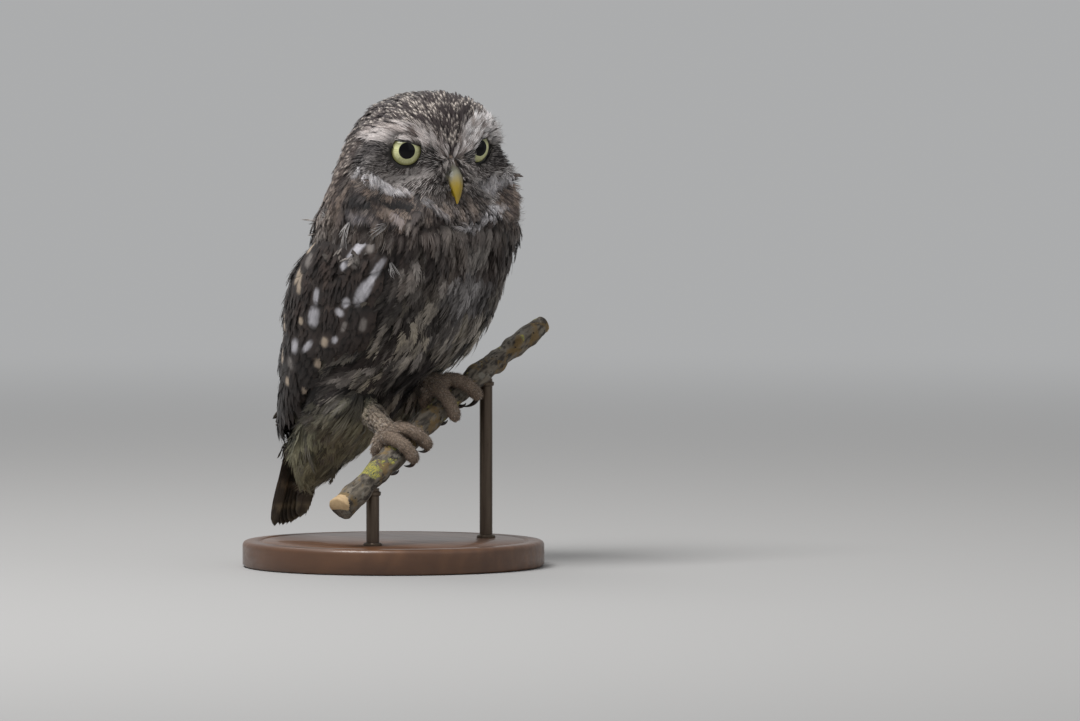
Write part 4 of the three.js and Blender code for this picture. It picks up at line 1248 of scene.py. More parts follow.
    zones = {"white": white, "face": face, "brow": brow, "crown": crown * nape, "nape": nape, "ruff": ruff}
    return shade, markTone, kind, zones


# Tufts, drawn one long and one wide; their z is one at the coat's full depth
def profileAt(y):
    return np.sin(np.clip(y / 0.6, 0, 1) * math.pi / 2) ** 0.8 - 0.1 * np.clip((y - 0.6) / 0.4, 0, 1) ** 2


def half(y):  # half the width of a feather along its length
    return 0.5 * np.sin(math.pi * np.clip(y, 0, 1) ** 0.75) ** 0.6


class Tuft:
    def __init__(self, seed):
        self.draw = np.random.default_rng(seed)
        self.points, self.faces, self.strand = [], [], []

    def strip(self, way, widths, lift=0.0):
        way = np.asarray(way, float)
        tone = self.draw.random()
        rows = []
        for k, (at, wide) in enumerate(zip(way, widths)):
            ahead = way[min(k + 1, len(way) - 1)] - way[max(k - 1, 0)]
            side = np.array([ahead[1], -ahead[0]]) / max(np.hypot(*ahead[:2]), 1e-6)
            z = profileAt(at[1]) - 0.55 * at[0] ** 2 + lift * at[1]
            row = []
            for sign in ((0,) if wide == 0 else (-1, 1)):
                row.append(len(self.points))
                self.points.append((at[0] + sign * wide * side[0], at[1] + sign * wide * side[1], z))
                self.strand.append(tone)
            rows.append(row)
        for a, b in zip(rows[:-1], rows[1:]):
            if len(b) == 1:
                self.faces.append((a[0], a[1], b[0]))
            else:
                self.faces.append((a[0], a[1], b[1], b[0]))

    def finish(self, name, hairy=False, dashed=False):
        p = np.array(self.points)
        bodyHalf = np.maximum(half(p[:, 1]), 0.12)
        off = np.abs(p[:, 0]) / bodyHalf
        y = p[:, 1]
        strand = np.array(self.strand)
        middle = fade(off, 0.2, 0.5) * smooth(y, 0.3, 0.5) * fade(y, 0.95, 1.08)
        if hairy:
            middle = (strand > 0.55) * smooth(y, 0.1, 0.4)
        if dashed:
            middle = (off < 0.45) * smooth(y, 0.55, 0.68) * fade(y, 0.86, 0.96)
        masks = rowsOf(middle, smooth(y, 0.7, 0.8), smooth(np.sin(y * 22), -0.1, 0.5))
        uv = rowsOf(p[:, 0] + 0.5, np.clip(p[:, 1], 0, 1))
        mesh = meshFrom(name, p / mm, self.faces, {"barb": uv}, {"masks": masks, "strand": strand})
        return bpy.data.objects.new(name, mesh)


# A contour feather whose barbs part at the rim
def softTuft(name, seed, barbs=8, fringe=0.16, width=0.055, dashed=False):
    tuft = Tuft(seed)
    r = tuft.draw
    tuft.strip([(0, 0), (0, 0.4), (0, 0.85)], [0.05, 0.07, 0.03], 0.02)
    for side in (-1, 1):
        for k in range(barbs):
            root = 0.1 + 0.68 * k / (barbs - 1)
            reach = root + 0.24 + r.uniform(-0.04, 0.05)
            rim = half(min(reach, 0.97)) * r.uniform(0.86, 1.12) * side
            middle = (rim * 0.55, root + 0.09 + 0.02 * r.random())
            end = (rim + side * fringe * 0.25 * r.random(), reach + fringe * r.uniform(0.1, 0.7))
            tuft.strip([(side * 0.01, root), middle, end], [width * 1.3, width * 1.2, 0.0],
                r.uniform(-0.07, 0.1))
    for side in (-0.13, 0.02, 0.15):
        tuft.strip([(side * 0.2, 0.72), (side * 0.7, 0.9), (side * 1.2, 1.05 + r.uniform(-0.06, 0.05))],
            [width * 1.2, width, 0], r.uniform(-0.03, 0.08))
    return tuft.finish(name, dashed=dashed)


def hairTuft(name, seed, strands=7, spread=1.0, wave=0.0, width=0.06):
    tuft = Tuft(seed)
    r = tuft.draw
    for k in range(strands):
        start = (k / (strands - 1) - 0.5) * 0.4
        end = start * 2.4 * spread + r.uniform(-0.14, 0.14)
        tall = r.uniform(0.72, 1.06)
        bend = r.uniform(-0.1, 0.1)
        way = [(start, 0.02)]
        for t in ((0.45, 0.8, 1.0) if wave else (0.55, 1.0)):
            aside = bend * math.sin(t * math.pi) + wave * r.uniform(-1, 1) * t
            way.append((mix(start, end, t) + aside, tall * t))
        widths = [width, width * 0.9] + ([width * 0.6] if wave else []) + [0]
        tuft.strip(way, widths, r.uniform(-0.16, 0.2))
    return tuft.finish(name, hairy=True)


tuftBox = bpy.data.collections.new("tuftBox")
tuftKinds = {}
for name, shape, count, seed, settings in (
        ("soft", softTuft, 4, 20, {}), ("hair", hairTuft, 4, 40, {}),
        ("down", hairTuft, 3, 60, {"strands": 9, "spread": 1.3, "wave": 0.06, "width": 0.05}),
        ("tight", softTuft, 3, 80, {"barbs": 5, "fringe": 0.07, "width": 0.085, "dashed": True}),
        ("wisp", hairTuft, 2, 90, {"strands": 6, "spread": 1.6, "wave": 0.2, "width": 0.035})):
    first = len(tuftBox.objects)
    tuftKinds[name] = (first, count)
    for k in range(count):
        tuftBox.objects.link(shape(f"tuft{first + k:02d}", seed + k, **settings))

# Sets a tuft on every point: its x is the width, y the length along the lie, z the depth
net, ends, out = newGroup("setTufts", "GeometryNodeTree", [
    ("Geometry", "Geometry"), ("Tufts", "Collection"),
    ("Material", "Material"), ("Turn", "Float", 0.2),
    ("Tilt", "Float", 0.05), ("Vary", "Float", 0.15), ("Seed", "Int", 1),
    ("Patch", "Float", 0.003)], [("Geometry", "Geometry")])


def named(net, name, kind="FLOAT_VECTOR"):
    node = net.add("GeometryNodeInputNamedAttribute", data_type=kind)
    node.inputs["Name"].default_value = name
    return node.outputs["Attribute"]


def someValue(net, low, high, seed, ends):
    node = net.add("FunctionNodeRandomValue", data_type="FLOAT")
    net.set(node.inputs[2], low)
    net.set(node.inputs[3], high)
    net.set(node.inputs["Seed"], net.plus(ends["Seed"], float(seed)))
    return node.outputs[1]


lieTurn = net.add("FunctionNodeAxesToRotation", {0: named(net, "out"), 1: named(net, "lie")},
    primary_axis="Z", secondary_axis="Y")
turnBack = net.times(ends["Turn"], -1.0)
tiltBack = net.times(ends["Tilt"], -1.0)
yaw = net.add("ShaderNodeCombineXYZ", {0: someValue(net, tiltBack, ends["Tilt"], 1, ends),
    1: someValue(net, turnBack, ends["Turn"], 2, ends),
    2: someValue(net, turnBack, ends["Turn"], 3, ends)})
jitter = net.add("FunctionNodeEulerToRotation", {0: yaw})
turned = net.add("FunctionNodeRotateRotation", {0: lieTurn, 1: jitter}, rotation_space="LOCAL")
less = net.minus(1.0, ends["Vary"])
more = net.plus(1.0, ends["Vary"])
scale = net.add("ShaderNodeVectorMath", {0: named(net, "size"), "Scale": someValue(net, less, more, 4, ends)},
    operation="SCALE")
tuftSet = net.add("GeometryNodeCollectionInfo", {"Collection": ends["Tufts"], "Separate Children": True,
    "Reset Children": True})
onPoints = net.add("GeometryNodeInstanceOnPoints", {
    "Points": ends["Geometry"], "Instance": tuftSet, "Pick Instance": True,
    "Instance Index": named(net, "pick", "INT"), "Rotation": turned, "Scale": scale})
real = net.add("GeometryNodeRealizeInstances", {0: onPoints})
middle = net.add("ShaderNodeVectorMath", {0: named(net, "barb"), 1: (0.5, 0.5, 0.0)}, operation="SUBTRACT")
patch = net.add("ShaderNodeVectorMath", {0: middle, "Scale": ends["Patch"]}, operation="SCALE")
spot = net.add("ShaderNodeVectorMath", {0: patch, 1: named(net, "place")}, operation="ADD")
stored = net.add("GeometryNodeStoreNamedAttribute", {"Geometry": real, "Name": "OFBake", "Value": spot},
    data_type="FLOAT2", domain="CORNER")
stored = net.add("GeometryNodeSetMaterial", {"Geometry": stored, "Material": ends["Material"]})
net.set(out["Geometry"], stored)
tuftTree = net.tree

# Scatters roots evenly over a surface
net, ends, out = newGroup("scatterRoots", "GeometryNodeTree", [
    ("Geometry", "Geometry"), ("Spacing", "Float", 0.002),
    ("Seed", "Int", 1)], [("Geometry", "Geometry")])
crowd = net.math("DIVIDE", 1.5, net.times(ends["Spacing"], ends["Spacing"]))
spread = net.add("GeometryNodeDistributePointsOnFaces", {
    "Mesh": ends["Geometry"], "Distance Min": ends["Spacing"], "Density Max": crowd,
    "Density Factor": named(net, "allow", "FLOAT"), "Seed": ends["Seed"]},
    distribute_method="POISSON")
kept = net.add("GeometryNodeStoreNamedAttribute", {"Geometry": spread, "Name": "out",
    "Value": spread.outputs["Normal"]},
    data_type="FLOAT_VECTOR", domain="POINT")
net.set(out["Geometry"], net.add("GeometryNodePointsToVertices", {0: kept}))
rootTree = net.tree


def scatter(thing, allow, spacing, seed, extra=()):
    mesh = thing.data
    if "allow" in mesh.attributes:
        mesh.attributes.remove(mesh.attributes["allow"])
    addMark(mesh, "allow", allow)
    roots = runTree(thing, rootTree, {"Spacing": spacing * mm, "Seed": seed}, "roots")
    mesh.attributes.remove(mesh.attributes["allow"])
    out, *others = (vectors(roots.attributes[name].data, "vector") for name in ("out", *extra))
    return points(roots), unit(out), *others


# An unwrap of the skin's own shape: round the body, and up from the vent to the crown
def bakePlace(p, leg=0):
    if leg:
        length = (p[:, 0] - feet["right" if leg == 1 else "left"]) / 40 + 0.5
        turn = np.arctan2(p[:, 1] - perch["y"], p[:, 2] - perchWay(p[:, 0])[:, 2])
        return rowsOf(0.02 + 0.46 * (leg - 1) + 0.4 * length, 0.02 + 0.1 * (turn / math.pi / 2 + 0.5), 0)
    q = toHead(p)
    cap = smooth(p[:, 2], 176, 200)
    turn = mix(bodyAngle(p), np.arctan2(q[:, 0], q[:, 1]), cap)
    level = np.degrees(np.arctan2(q[:, 2], np.hypot(q[:, 0], q[:, 1])))
    height = mix((p[:, 2] - 36) / 220, 0.68 + level / 90 * 0.3, smooth(p[:, 2], 182, 190))
    return rowsOf(turn / (2 * math.pi) * 0.98 + 0.5, 0.16 + 0.83 * height, 0)


plumeMaterial, net = newMaterial("plumage", Roughness=0.62, Specular_IOR_Level=0.32, Sheen_Weight=0.18,
    Sheen_Roughness=0.4)
shadeMark = net.mark("shade", "Color")
markMark = net.mark("mark", "Color")
masks = net.mark("masks", "Vector")
kinds = net.mark("kind", "Vector")
strand = net.mark("strand")
amount = net.add("ShaderNodeVectorMath", {0: masks, 1: kinds}, operation="DOT_PRODUCT").outputs["Value"]
uv = net.add("ShaderNodeUVMap", uv_map="barb").outputs[0]
lines = place(net, barbs, {"UV": uv, "Lines": 16.0, "Slant": 6.0})
tone = net.blend(net.math("MINIMUM", amount, 1.0), shadeMark, markMark)
height = net.add("ShaderNodeSeparateXYZ", {0: uv}).outputs[1]
# darker towards each tuft's root: partly the grey down at real feather bases, partly painted shade under the
# tufts that overlap it
deep = net.ramp(height, 0.0, 0.55, 0.28, 1.0)
value = net.times(net.linear(strand, 0.42, 0.79), deep)
value = net.times(value, lines.outputs["Shade"])
gray = net.add("ShaderNodeCombineColor", {0: value, 1: value, 2: value})
net.base(net.blend(1.0, tone, gray, "MULTIPLY"))

# The down under the coat takes the plumage's colours, darkened towards near black as painted shade in the
# gaps between the tufts
skinMaterial, net = newMaterial("underDown_painted_shade", Roughness=0.9)
shadeMark = net.mark("shade", "Color")
coords = net.coords()
fluff = net.noise(coords, 900.0, 4.0)
net.base(net.blend(net.ramp(fluff, 0.3, 0.8, 0.35, 0.8),
    (0.012, 0.01, 0.009), shadeMark))
net.bump(fluff, 0.8, 0.0008)

coatCount = 0


def setCoat(name, data, slot, turn=0.2, tilt=0.06, vary=0.14, soften=0.5, patch=0.003):
    global coatCount
    mesh = bpy.data.meshes.new(name + "Roots")
    mesh.from_pydata((data["at"] * mm).tolist(), [], [])
    data["size"] = data["size"] * mm
    for key in ("out", "lie", "size", "kind", "place"):
        addMark(mesh, key, data[key])
    addMark(mesh, "pick", data["pick"])
    for key in ("shade", "mark"):
        addMark(mesh, key, np.column_stack([data[key], np.ones(len(mesh.vertices))]))
    roots = newObject(name + "Roots", mesh)
    values = {"Tufts": tuftBox, "Material": plumeMaterial, "Turn": turn, "Tilt": tilt, "Vary": vary,
        "Seed": 3 + coatCount, "Patch": patch}
    coat = runTree(roots, tuftTree, values, name)
    bpy.data.objects.remove(roots)
    out = vectors(coat.attributes["out"].data, "vector")
    for key in ("out", "lie", "size", "place", "pick"):
        coat.attributes.remove(coat.attributes[key])
    facing = unit(normals(coat) * (1 - soften) + out * soften)
    coat.normals_split_custom_set_from_vertices(facing.astype(np.float32))
    finished(newObject("coat_" + name, coat), slot)
    coatCount += 1
    triangles = sum(len(f.vertices) - 2 for f in coat.polygons)
    print("coat", name, len(data["at"]), "tufts", triangles, "triangles")


# Colours on the skin, and what it stands for
at = points(skinMesh)
shade = plumage(at, same(at, 0.5))[0]
shade[bodyCount:] = tones["toe"]
addMark(skinMesh, "shade", np.column_stack([shade, np.ones(len(at))]))
legParts = [f"{part}_{side}" for part in ("thigh", "tarsus", "foot") for side in sides]
legParts += [f"toe_{side}_{number}" for side in sides for number in toes]
finished(skin, "plumage_breast", "head", "neck", "torso", *legParts, material=skinMaterial)


def pickKind(name, chance):
    first, count = tuftKinds[name]
    return first + np.floor(chance * count * 0.9999).astype(int)


def tuftData(p, out, lie, wide, long, deep, pick, shade, markTone=None, kind=None):
    markTone = shade if markTone is None else markTone
    kind = same(p, np.zeros(3)) if kind is None else kind
    tint = 1 + 0.14 * (chances(p) - 0.5)
    return {"at": p, "out": out, "lie": lie, "size": rowsOf(wide, long, deep), "pick": pick,
        "shade": shade * tint[:, None], "mark": markTone * tint[:, None], "kind": kind,
        "place": bakePlace(p)}


def keepOnly(data, chosen):
    return {key: value[chosen] for key, value in data.items()}


# Head: fine tufts, in pieces by zone
headSize = {"spacing": 0.93, "face": (1.7, 4.4), "brow": (1.9, 7.4), "crown": (2.1, 5.4), "nape": (2.8, 7.0),
    "ruff": (2.5, 6.6), "white": (1.7, 6.0), "over": 0.35, "eyeGap": 7.9, "billGap": 5.0}
bodyPart = np.arange(len(at)) < bodyCount


# The same factor lowers the coat and darkens its colour: the darker gaps between groups are painted shade
def clumpAndGapShade(p):  # feathers stand in groups with darker gaps between them
    onBody = 1 - smooth(p[:, 2], 150, 165)
    fine, coarse = speckle(p, 4.0, 31), speckle(p * [1, 1, 0.6], 6.5, 32)
    return mix(0.84 + 0.32 * smooth(fine, 0.25, 0.75), 0.7 + 0.5 * smooth(coarse, 0.25, 0.7), onBody)


def headTufts(p, out, deep, short=1.0):
    chance = chances(p)
    lie = lieAt(p, out)
    shade, markTone, kind, zones = plumage(p + lie * 3.5 * short, chance)
    wide, long = np.full(len(p), headSize["nape"][0]), np.full(len(p), headSize["nape"][1])
    kindName = np.full(len(p), "tight")
    for zone, name in (("crown", "tight"), ("ruff", "down"), ("face", "hair"), ("brow", "hair"),
            ("white", "hair")):
        inside = zones[zone] > 0.4
        wide[inside], long[inside] = headSize[zone]
        kindName[inside] = name
    gap = np.minimum(*eyeGaps(p))
    billGap = np.linalg.norm(toHead(p) - np.array([0, 23, -6.0]), axis=1)
    brow = zones["brow"]
    long = long * mix(mix(0.7, 1.1, smooth(gap, 8, 14)), 0.95, brow)
    long = long * mix(0.7, 1, smooth(billGap, 5, 10)) * short
    shade, markTone, kind, zones = plumage(p + lie * (long * 0.85)[:, None], chance)
    # painted shade in the gaps between groups of feathers
    shade = shade * clumpAndGapShade(p)[:, None]
    deep = deep * clumpAndGapShade(p) * 0.78
    long = long * mix(1, 0.75 + 0.6 * chance, zones["crown"])
    pick = np.zeros(len(p), int)
    second = chances(p)
    for name in tuftKinds:
        chosen = kindName == name
        pick[chosen] = pickKind(name, second[chosen])
    data = tuftData(p, out, lie, wide, long, deep * mix(1, 1.3, brow), pick, shade, markTone, kind)
    return data, zones


edgeZ = at[:, 2] + 12 * (speckle(at, 7.0, 51) - 0.5)  # where head and body feathers meet
allow = bodyPart * smooth(edgeZ, 147, 163)
p, out = scatter(skin, allow, headSize["spacing"], 1)
billGap = np.linalg.norm(toHead(p) - np.array([0, 23, -6.0]), axis=1)
q = toHead(p)
culmen = (np.abs(q[:, 0]) < 3.4) & (q[:, 2] < 1.5) & (q[:, 2] > -9) & (q[:, 1] > 18)
keep = (np.minimum(*eyeGaps(p)) > headSize["eyeGap"]) & (billGap > headSize["billGap"]) & ~culmen
p, out = p[keep], out[keep]
data, zones = headTufts(p, out, coatDepth(p) + headSize["over"])
data["size"][:, 2] *= mix(1, 0.8, zones["ruff"])
faceSide = (zones["face"] > 0.5) | (zones["brow"] > 0.5)
front = toHead(p)[:, 1] > 0
for name, chosen in (("face", faceSide), ("crown", (zones["crown"] > 0.5) & ~faceSide),
        ("nape", (zones["crown"] <= 0.5) & ~faceSide & ~front),
        ("ruff", (zones["crown"] <= 0.5) & ~faceSide & front)):
    setCoat(name, keepOnly(data, chosen), "plumage_head", turn=0.24, tilt=0.08)

# The white rim of the face, over the other feathers
rim = {"spacing": 0.8, "reach": 4.5, "least": 0.25, "size": (1.9, 6.2), "rise": 1.4,
    "tone": paint(228, 225, 228), "sides": (-40, -36, -29, -23, -12, -2, 12, 20),
    "weights": (0.8, 1, 0.9, 0.3, 0.3, 0.45, 0.6, 0.8)}
p, out = scatter(skin, allow, rim["spacing"], 5)
q = toHead(p)
step = np.argmin(np.linalg.norm(q[:, None] - rimLine, axis=2), axis=1)
along = rimLine[np.minimum(step + 1, len(rimLine) - 1)] - rimLine[np.maximum(step - 1, 0)]
along = unit(along * np.where(q[:, 0] < 2, 1, -1)[:, None])
along = sum(along[:, k:k + 1] * headWay(*np.eye(3)[k]) for k in range(3))
lie = flatTo(lieAt(p, out) * 0.7 + along, out)
white = plumage(p + lie * rim["reach"], same(p, 0.5))[3]["white"]
p, out, lie, q, white = (value[white > rim["least"]] for value in (p, out, lie, q, white))
data, zones = headTufts(p, out, (coatDepth(p) + headSize["over"]) * rim["rise"])
data["lie"] = lie
data["pick"] = pickKind("hair", chances(p))
data["size"][:, :2] = rim["size"]
strong = np.interp(q[:, 0], rim["sides"], rim["weights"])
bright = smooth(white, 0.15, 0.6) * strong * mix(0.3, 1, chances(p))
data["shade"] = mixRows(data["shade"], rim["tone"], bright)
setCoat("rim", data, "plumage_head", turn=0.2, tilt=0.1)

# Feathers on the lids, and the brow's where it hangs over the eye
lidSize = {"spacing": 0.62, "depth": 0.75, "short": 0.62}
sets = []
for piece in lidPieces:
    rim = np.zeros(len(piece.data.vertices), np.float32)
    piece.data.attributes["rim"].data.foreach_get("value", rim)
    p, out = scatter(piece, 1 - smooth(rim, 0.1, 0.5), lidSize["spacing"], 4)
    data, zones = headTufts(p, out, same(p, lidSize["depth"]), lidSize["short"])
    sets.append(data)
data = {key: np.concatenate([part[key] for part in sets]) for key in sets[0]}
setCoat("lids", data, "plumage_head", turn=0.2, tilt=0.1)

# Bristles that spread from the bill's root over its sides
bristle = {"spacing": 0.42, "long": (5.0, 8.5), "wide": 0.9, "rise": 2.6, "near": 3.2, "far": 8.6,
    "share": 0.6}
p, out = scatter(skin, allow, bristle["spacing"], 6)
q = toHead(p)
billGap = np.linalg.norm(q - np.array([0, 23, -4.0]), axis=1)
keep = (billGap < bristle["far"]) & (billGap > bristle["near"]) & (q[:, 2] > -11)
keep = keep & (chances(p) < bristle["share"])
keep = keep & ((np.abs(q[:, 0]) > 2.6) | (q[:, 2] > 3.5))
p, out, q = p[keep], out[keep], q[keep]
chance = chances(p)
aim = fromHead(q[:, 0] * 1.5 + np.sign(q[:, 0]) * 1.2, 30 - 2 * chance, q[:, 2] * 0.7 - 9 + 3 * chance)
lie = unit(aim - p)
out = flatTo(out, lie)
long = mix(*bristle["long"], chance) * mix(1, 0.65, smooth(-q[:, 2], -2, 8))
shade = mixRows(same(p, tones["mid"]), tones["faceLight"], chances(p) * 0.6)
shade = mixRows(shade, tones["night"], (chances(p) < 0.45) * 0.85)
kind = rowsOf(0, 0.9 * (chance > 0.5), 0 * chance)
data = tuftData(p, out, lie, same(p, bristle["wide"]), long, same(p, bristle["rise"]),
    pickKind("hair", chances(p)),
    shade, same(p, tones["night"]), kind)
setCoat("bristles", data, "plumage_head", turn=0.16, tilt=0.1)

# Body: longer feathers, tucked under the folded wings
bodySize = {"spacing": 1.62, "high": (4.6, 10.5), "flank": (4.8, 14.5), "vent": (4.0, 13.5),
    "back": (6.0, 12.0)}


def wingGap(p):  # how far a place lies in front of the folded wing, in millimetres
    turned = turnedBy(p)
    front = between(wingRows, p[:, 2], 1)
    return np.where(p[:, 2] < 157, (front - turned) * 0.7, 30.0)


turned = turnedBy(at)
wingBack = between(wingRows, at[:, 2], 2)
covered = smooth(-wingGap(at), -2, 2) * fade(turned, wingBack - 8, wingBack - 3) \
    * smooth(at[:, 2], 56, 60) * fade(at[:, 2], 152, 156)
rump = smooth(turned, 114, 124) * fade(at[:, 2], 66, 72)
allow = bodyPart * fade(edgeZ, 152, 168) * (1 - covered) * (1 - rump)
p, out = scatter(skin, allow, bodySize["spacing"], 2)
chance = chances(p)
lie = lieAt(p, out)
turned = turnedBy(p)
low = 1 - smooth(p[:, 2], 108, 138)
backSide = smooth(turned, 112, 126)
vent = fade(p[:, 2], 66, 84) * (1 - backSide)
overTail = smooth(turned, 96, 112) * fade(p[:, 2], 58, 70)
wide, long = (mix(mix(mix(bodySize["high"][k], bodySize["flank"][k], low), bodySize["vent"][k], vent),
    bodySize["back"][k], backSide) for k in (0, 1))
heelGap = np.min([np.linalg.norm(p - heels[side], axis=1) for side in sides], axis=0)
overLeg = 1 - smooth(heelGap, 8, 17)
long = long * mix(1, 0.6, overTail) * mix(1, 1.25, overLeg)
shade, markTone, kind, zones = plumage(p + lie * (long * 0.8)[:, None], chance)
# the coverts over the tail take the mantle's colour; the groups of feathers get painted shade in their gaps
shade = mixRows(shade, tones["mantle"], overTail * 0.8) * clumpAndGapShade(p)[:, None]
# painted shade on the flank feathers close to the folded wing's front edge
shade = shade * mix(0.5, 1, smooth(np.abs(wingGap(p)), 3, 11))[:, None]
shade = mixRows(shade, tones["vent"], overLeg * 0.6 * chance)
tucked = np.where(turned > 100, 1.0, mix(0.3, 1, smooth(wingGap(p), 4, 17)))
angle = np.degrees(bodyAngle(p))
throat = smooth(p[:, 2], 142, 152) * fade(-angle, 40, 60) * fade(angle, 8, 24)
deep = (coatDepth(p) + 0.3) * tucked * clumpAndGapShade(p) * mix(0.82, 1.5, throat * chances(p))
shoulder = smooth(p[:, 2], 118, 135) * smooth(angle, 22, 36) * fade(angle, 58, 70)
deep = deep * (1 - 0.45 * shoulder) * (1 + 0.7 * overLeg)
pick = pickKind("soft", chances(p))
fluffy = chances(p) < mix(0.2, 0.75, vent)
pick[fluffy] = pickKind("down", draw.random(fluffy.sum()))
firm = (backSide > 0.5) & (chances(p) < 0.6)
pick[firm] = pickKind("tight", draw.random(firm.sum()))
data = tuftData(p, out, lie, wide, long, deep, pick, shade, markTone, kind)
rightSide = p[:, 0] < 0
upperPart = p[:, 2] > 122
backPart = turned > 118
ventPart = ~backPart & (p[:, 2] < 80)
for name, chosen in (("back", backPart), ("vent", ventPart),
        ("breast", ~backPart & ~ventPart & upperPart),
        ("flank_right", ~backPart & ~ventPart & ~upperPart & rightSide),
        ("flank_left", ~backPart & ~ventPart & ~upperPart & ~rightSide)):
    setCoat(name, keepOnly(data, chosen), "plumage_breast", turn=0.2, tilt=0.07)

# Loose white tufts that stand off the coat: height and angle or a place on the head,
# the way they point (to the viewer's right, up), how many, spread and length
accents = [
    ((165, -104), (-0.9, 0.15), 4, 2.6, 6.5), ((158, -90), (-0.2, -1), 2, 1.2, 11.0),
    ((157, -60), (-0.4, -1), 2, 1.6, 9.0), ((150, -58), (-0.1, -1), 2, 1.6, 9.0),
    ((143, -57), (0.3, -1), 2, 1.4, 8.0), ((162, 41), (0.9, 0.35), 4, 2.6, 7.0),
    ((29, 13, 21), (0.8, 0.5), 10, 6.0, 5.5), ((32, 11, 15), (0.9, 0.25), 9, 5.0, 5.5),
    ((33, 6, 8), (0.9, -0.3), 6, 4.0, 5.0), ((33, 12, -6), (0.95, -0.2), 8, 4.0, 5.5),
]
accent = {"wide": 3.0, "rise": 1.8, "tone": paint(172, 168, 166), "spread": 0.35, "lift": 1.2, "lowLift": 1.8}
viewRight = np.array([0.669, -0.743, 0])
skinOut = normals(skinMesh)
chosen, ways, longs = [], [], []
for seat, aim, count, spread, reach in accents:
    root = fromHead(*seat) if len(seat) == 3 else bodyForm(np.array([float(seat[0])]),
        np.radians([seat[1]]))[0]
    gap = np.linalg.norm(at - root, axis=1)
    close = np.argsort(gap)[:max(count * 3, int((gap < spread + gap.min()).sum()))]
    for index in draw.choice(close, count, replace=False):
        chosen.append(index)
        ways.append(viewRight * aim[0] + np.array([0, 0, aim[1]]) + accent["spread"] * draw.normal(size=3)
            + accent["spread"] * skinOut[index])
        longs.append(reach * draw.uniform(0.7, 1.1))
p, lie = at[chosen], unit(np.array(ways))
out = unit(skinOut[chosen] - lie * dot(skinOut[chosen], lie)[:, None] + 1e-6)
shade = same(p, accent["tone"]) * (0.7 + 0.4 * chances(p))[:, None]
lift = accent["lift"] + accent["lowLift"] * (p[:, 2] < 160)
data = tuftData(p + out * lift[:, None], out, lie, same(p, accent["wide"]), np.array(longs),
    same(p, accent["rise"]), pickKind("wisp", chances(p)), shade)
setCoat("accents", data, "plumage_head", turn=0.3, tilt=0.2)

# Legs: short hair-like feathers from the thighs to bristles on the toes
legSize = {"spacing": 0.78, "heel": (2.4, 8.0), "shank": (1.1, 3.6), "toe": (0.55, 1.5), "depth": 0.9}
p, out = scatter(skin, 1.0 - bodyPart, legSize["spacing"], 3)
legSide = np.where(p[:, 0] < 0, 1, 2)
alongLeg = np.zeros(len(p))
lie = np.zeros((len(p), 3))
nearest = same(p, 1e9)
for k, side in enumerate(sides):
    ways = [lambda t, a=heels[side], b=footMiddle(side): mix(a, b, t)]
    ways += [toeWay(side, number) for number in toes]
    for number, way in enumerate(ways):
        for t in np.linspace(0, 1, 14):
            here = way(float(t))
            gone = way(min(float(t) + 0.05, 1.0)) - way(max(float(t) - 0.05, 0.0))
            far = np.linalg.norm(p - here, axis=1) + (1.5 if number == 0 and t > 0.85 else 0)
            closer = (far < nearest) & (legSide == k + 1)
            nearest[closer] = far[closer]
            lie[closer] = unit(gone)
            alongLeg[closer] = (0.0 if number == 0 else 1.0) + t
lie = unit(lie - out * dot(lie, out)[:, None] + 1e-5)
perchGap = np.linalg.norm(p[:, 1:] - perchWay(p[:, 0])[:, 1:], axis=1) - perchRadius(p[:, 0])
keep = (perchGap > 0.9) & (alongLeg < 1.93) & (alongLeg > 0.1)  # off the perch, the claws and the heel's end
p, out, lie, alongLeg, legSide = p[keep], out[keep], lie[keep], alongLeg[keep], legSide[keep]
chance = chances(p)
onToe = smooth(alongLeg, 0.7, 1.25)
wide, long = (mix(mix(legSize["heel"][k], legSize["shank"][k], smooth(alongLeg, 0.1, 0.6)),
    legSize["toe"][k], onToe) for k in (0, 1))
shade = mixRows(same(p, tones["leg"]), tones["toe"], onToe)
shade = mixRows(shade, tones["vent"], fade(alongLeg, 0.1, 0.5) * 0.75)
shade = mixRows(shade, tones["pale"], (chance > 0.8) * 0.5)
shade = mixRows(shade, tones["streak"], smooth(speckle(p, 2.4, 9), 0.62, 0.8) * 0.35)
deep = mix(2.4, legSize["depth"], smooth(alongLeg, 0.0, 0.8)) * mix(1, 0.55, onToe)
data = tuftData(p, out, lie, wide, long, deep, pickKind("hair", chances(p)),
    shade)
for k in (1, 2):
    data["place"][legSide == k] = bakePlace(p[legSide == k], k)
setCoat("legs", data, "leg", turn=0.3, tilt=0.12)

# Wings: rows of vanes, roots and tips running from the front to the back,
# each place a height and an angle from the nose through a middle one
wingTiers = [  # count, roots, tips, width, lift
    (7, ((100, 92), (101, 124), (98, 163)), ((86, 92), (68, 112), (58.5, 162)), 12.5, -0.9),
    (8, ((119, 68), (121, 108), (121, 154)), ((100, 76), (92, 114), (82, 166)), 13.5, -0.5),
    (8, ((130, 68), (131, 100), (132, 134)), ((110, 66), (110, 99), (108, 134)), 13, -0.1),
    (2, ((129, 64), (129, 66), (129, 68)), ((104, 63), (107, 66), (110, 69)), 8, 0.1),
    (9, ((143, 68), (143, 88), (142, 112)), ((125, 66), (123, 87), (122, 112)), 12, 0.25),
    (9, ((152, 68), (152, 84), (150, 104)), ((138, 66), (137, 84), (136, 104)), 10.5, 0.55),
    (6, ((143, 108), (138, 130), (128, 154)), ((127, 102), (118, 130), (105, 160)), 13.5, 0.75),
    (8, ((155, 80), (154, 104), (152, 136)), ((142, 76), (139, 102), (131, 136)), 13, 1.05),
]
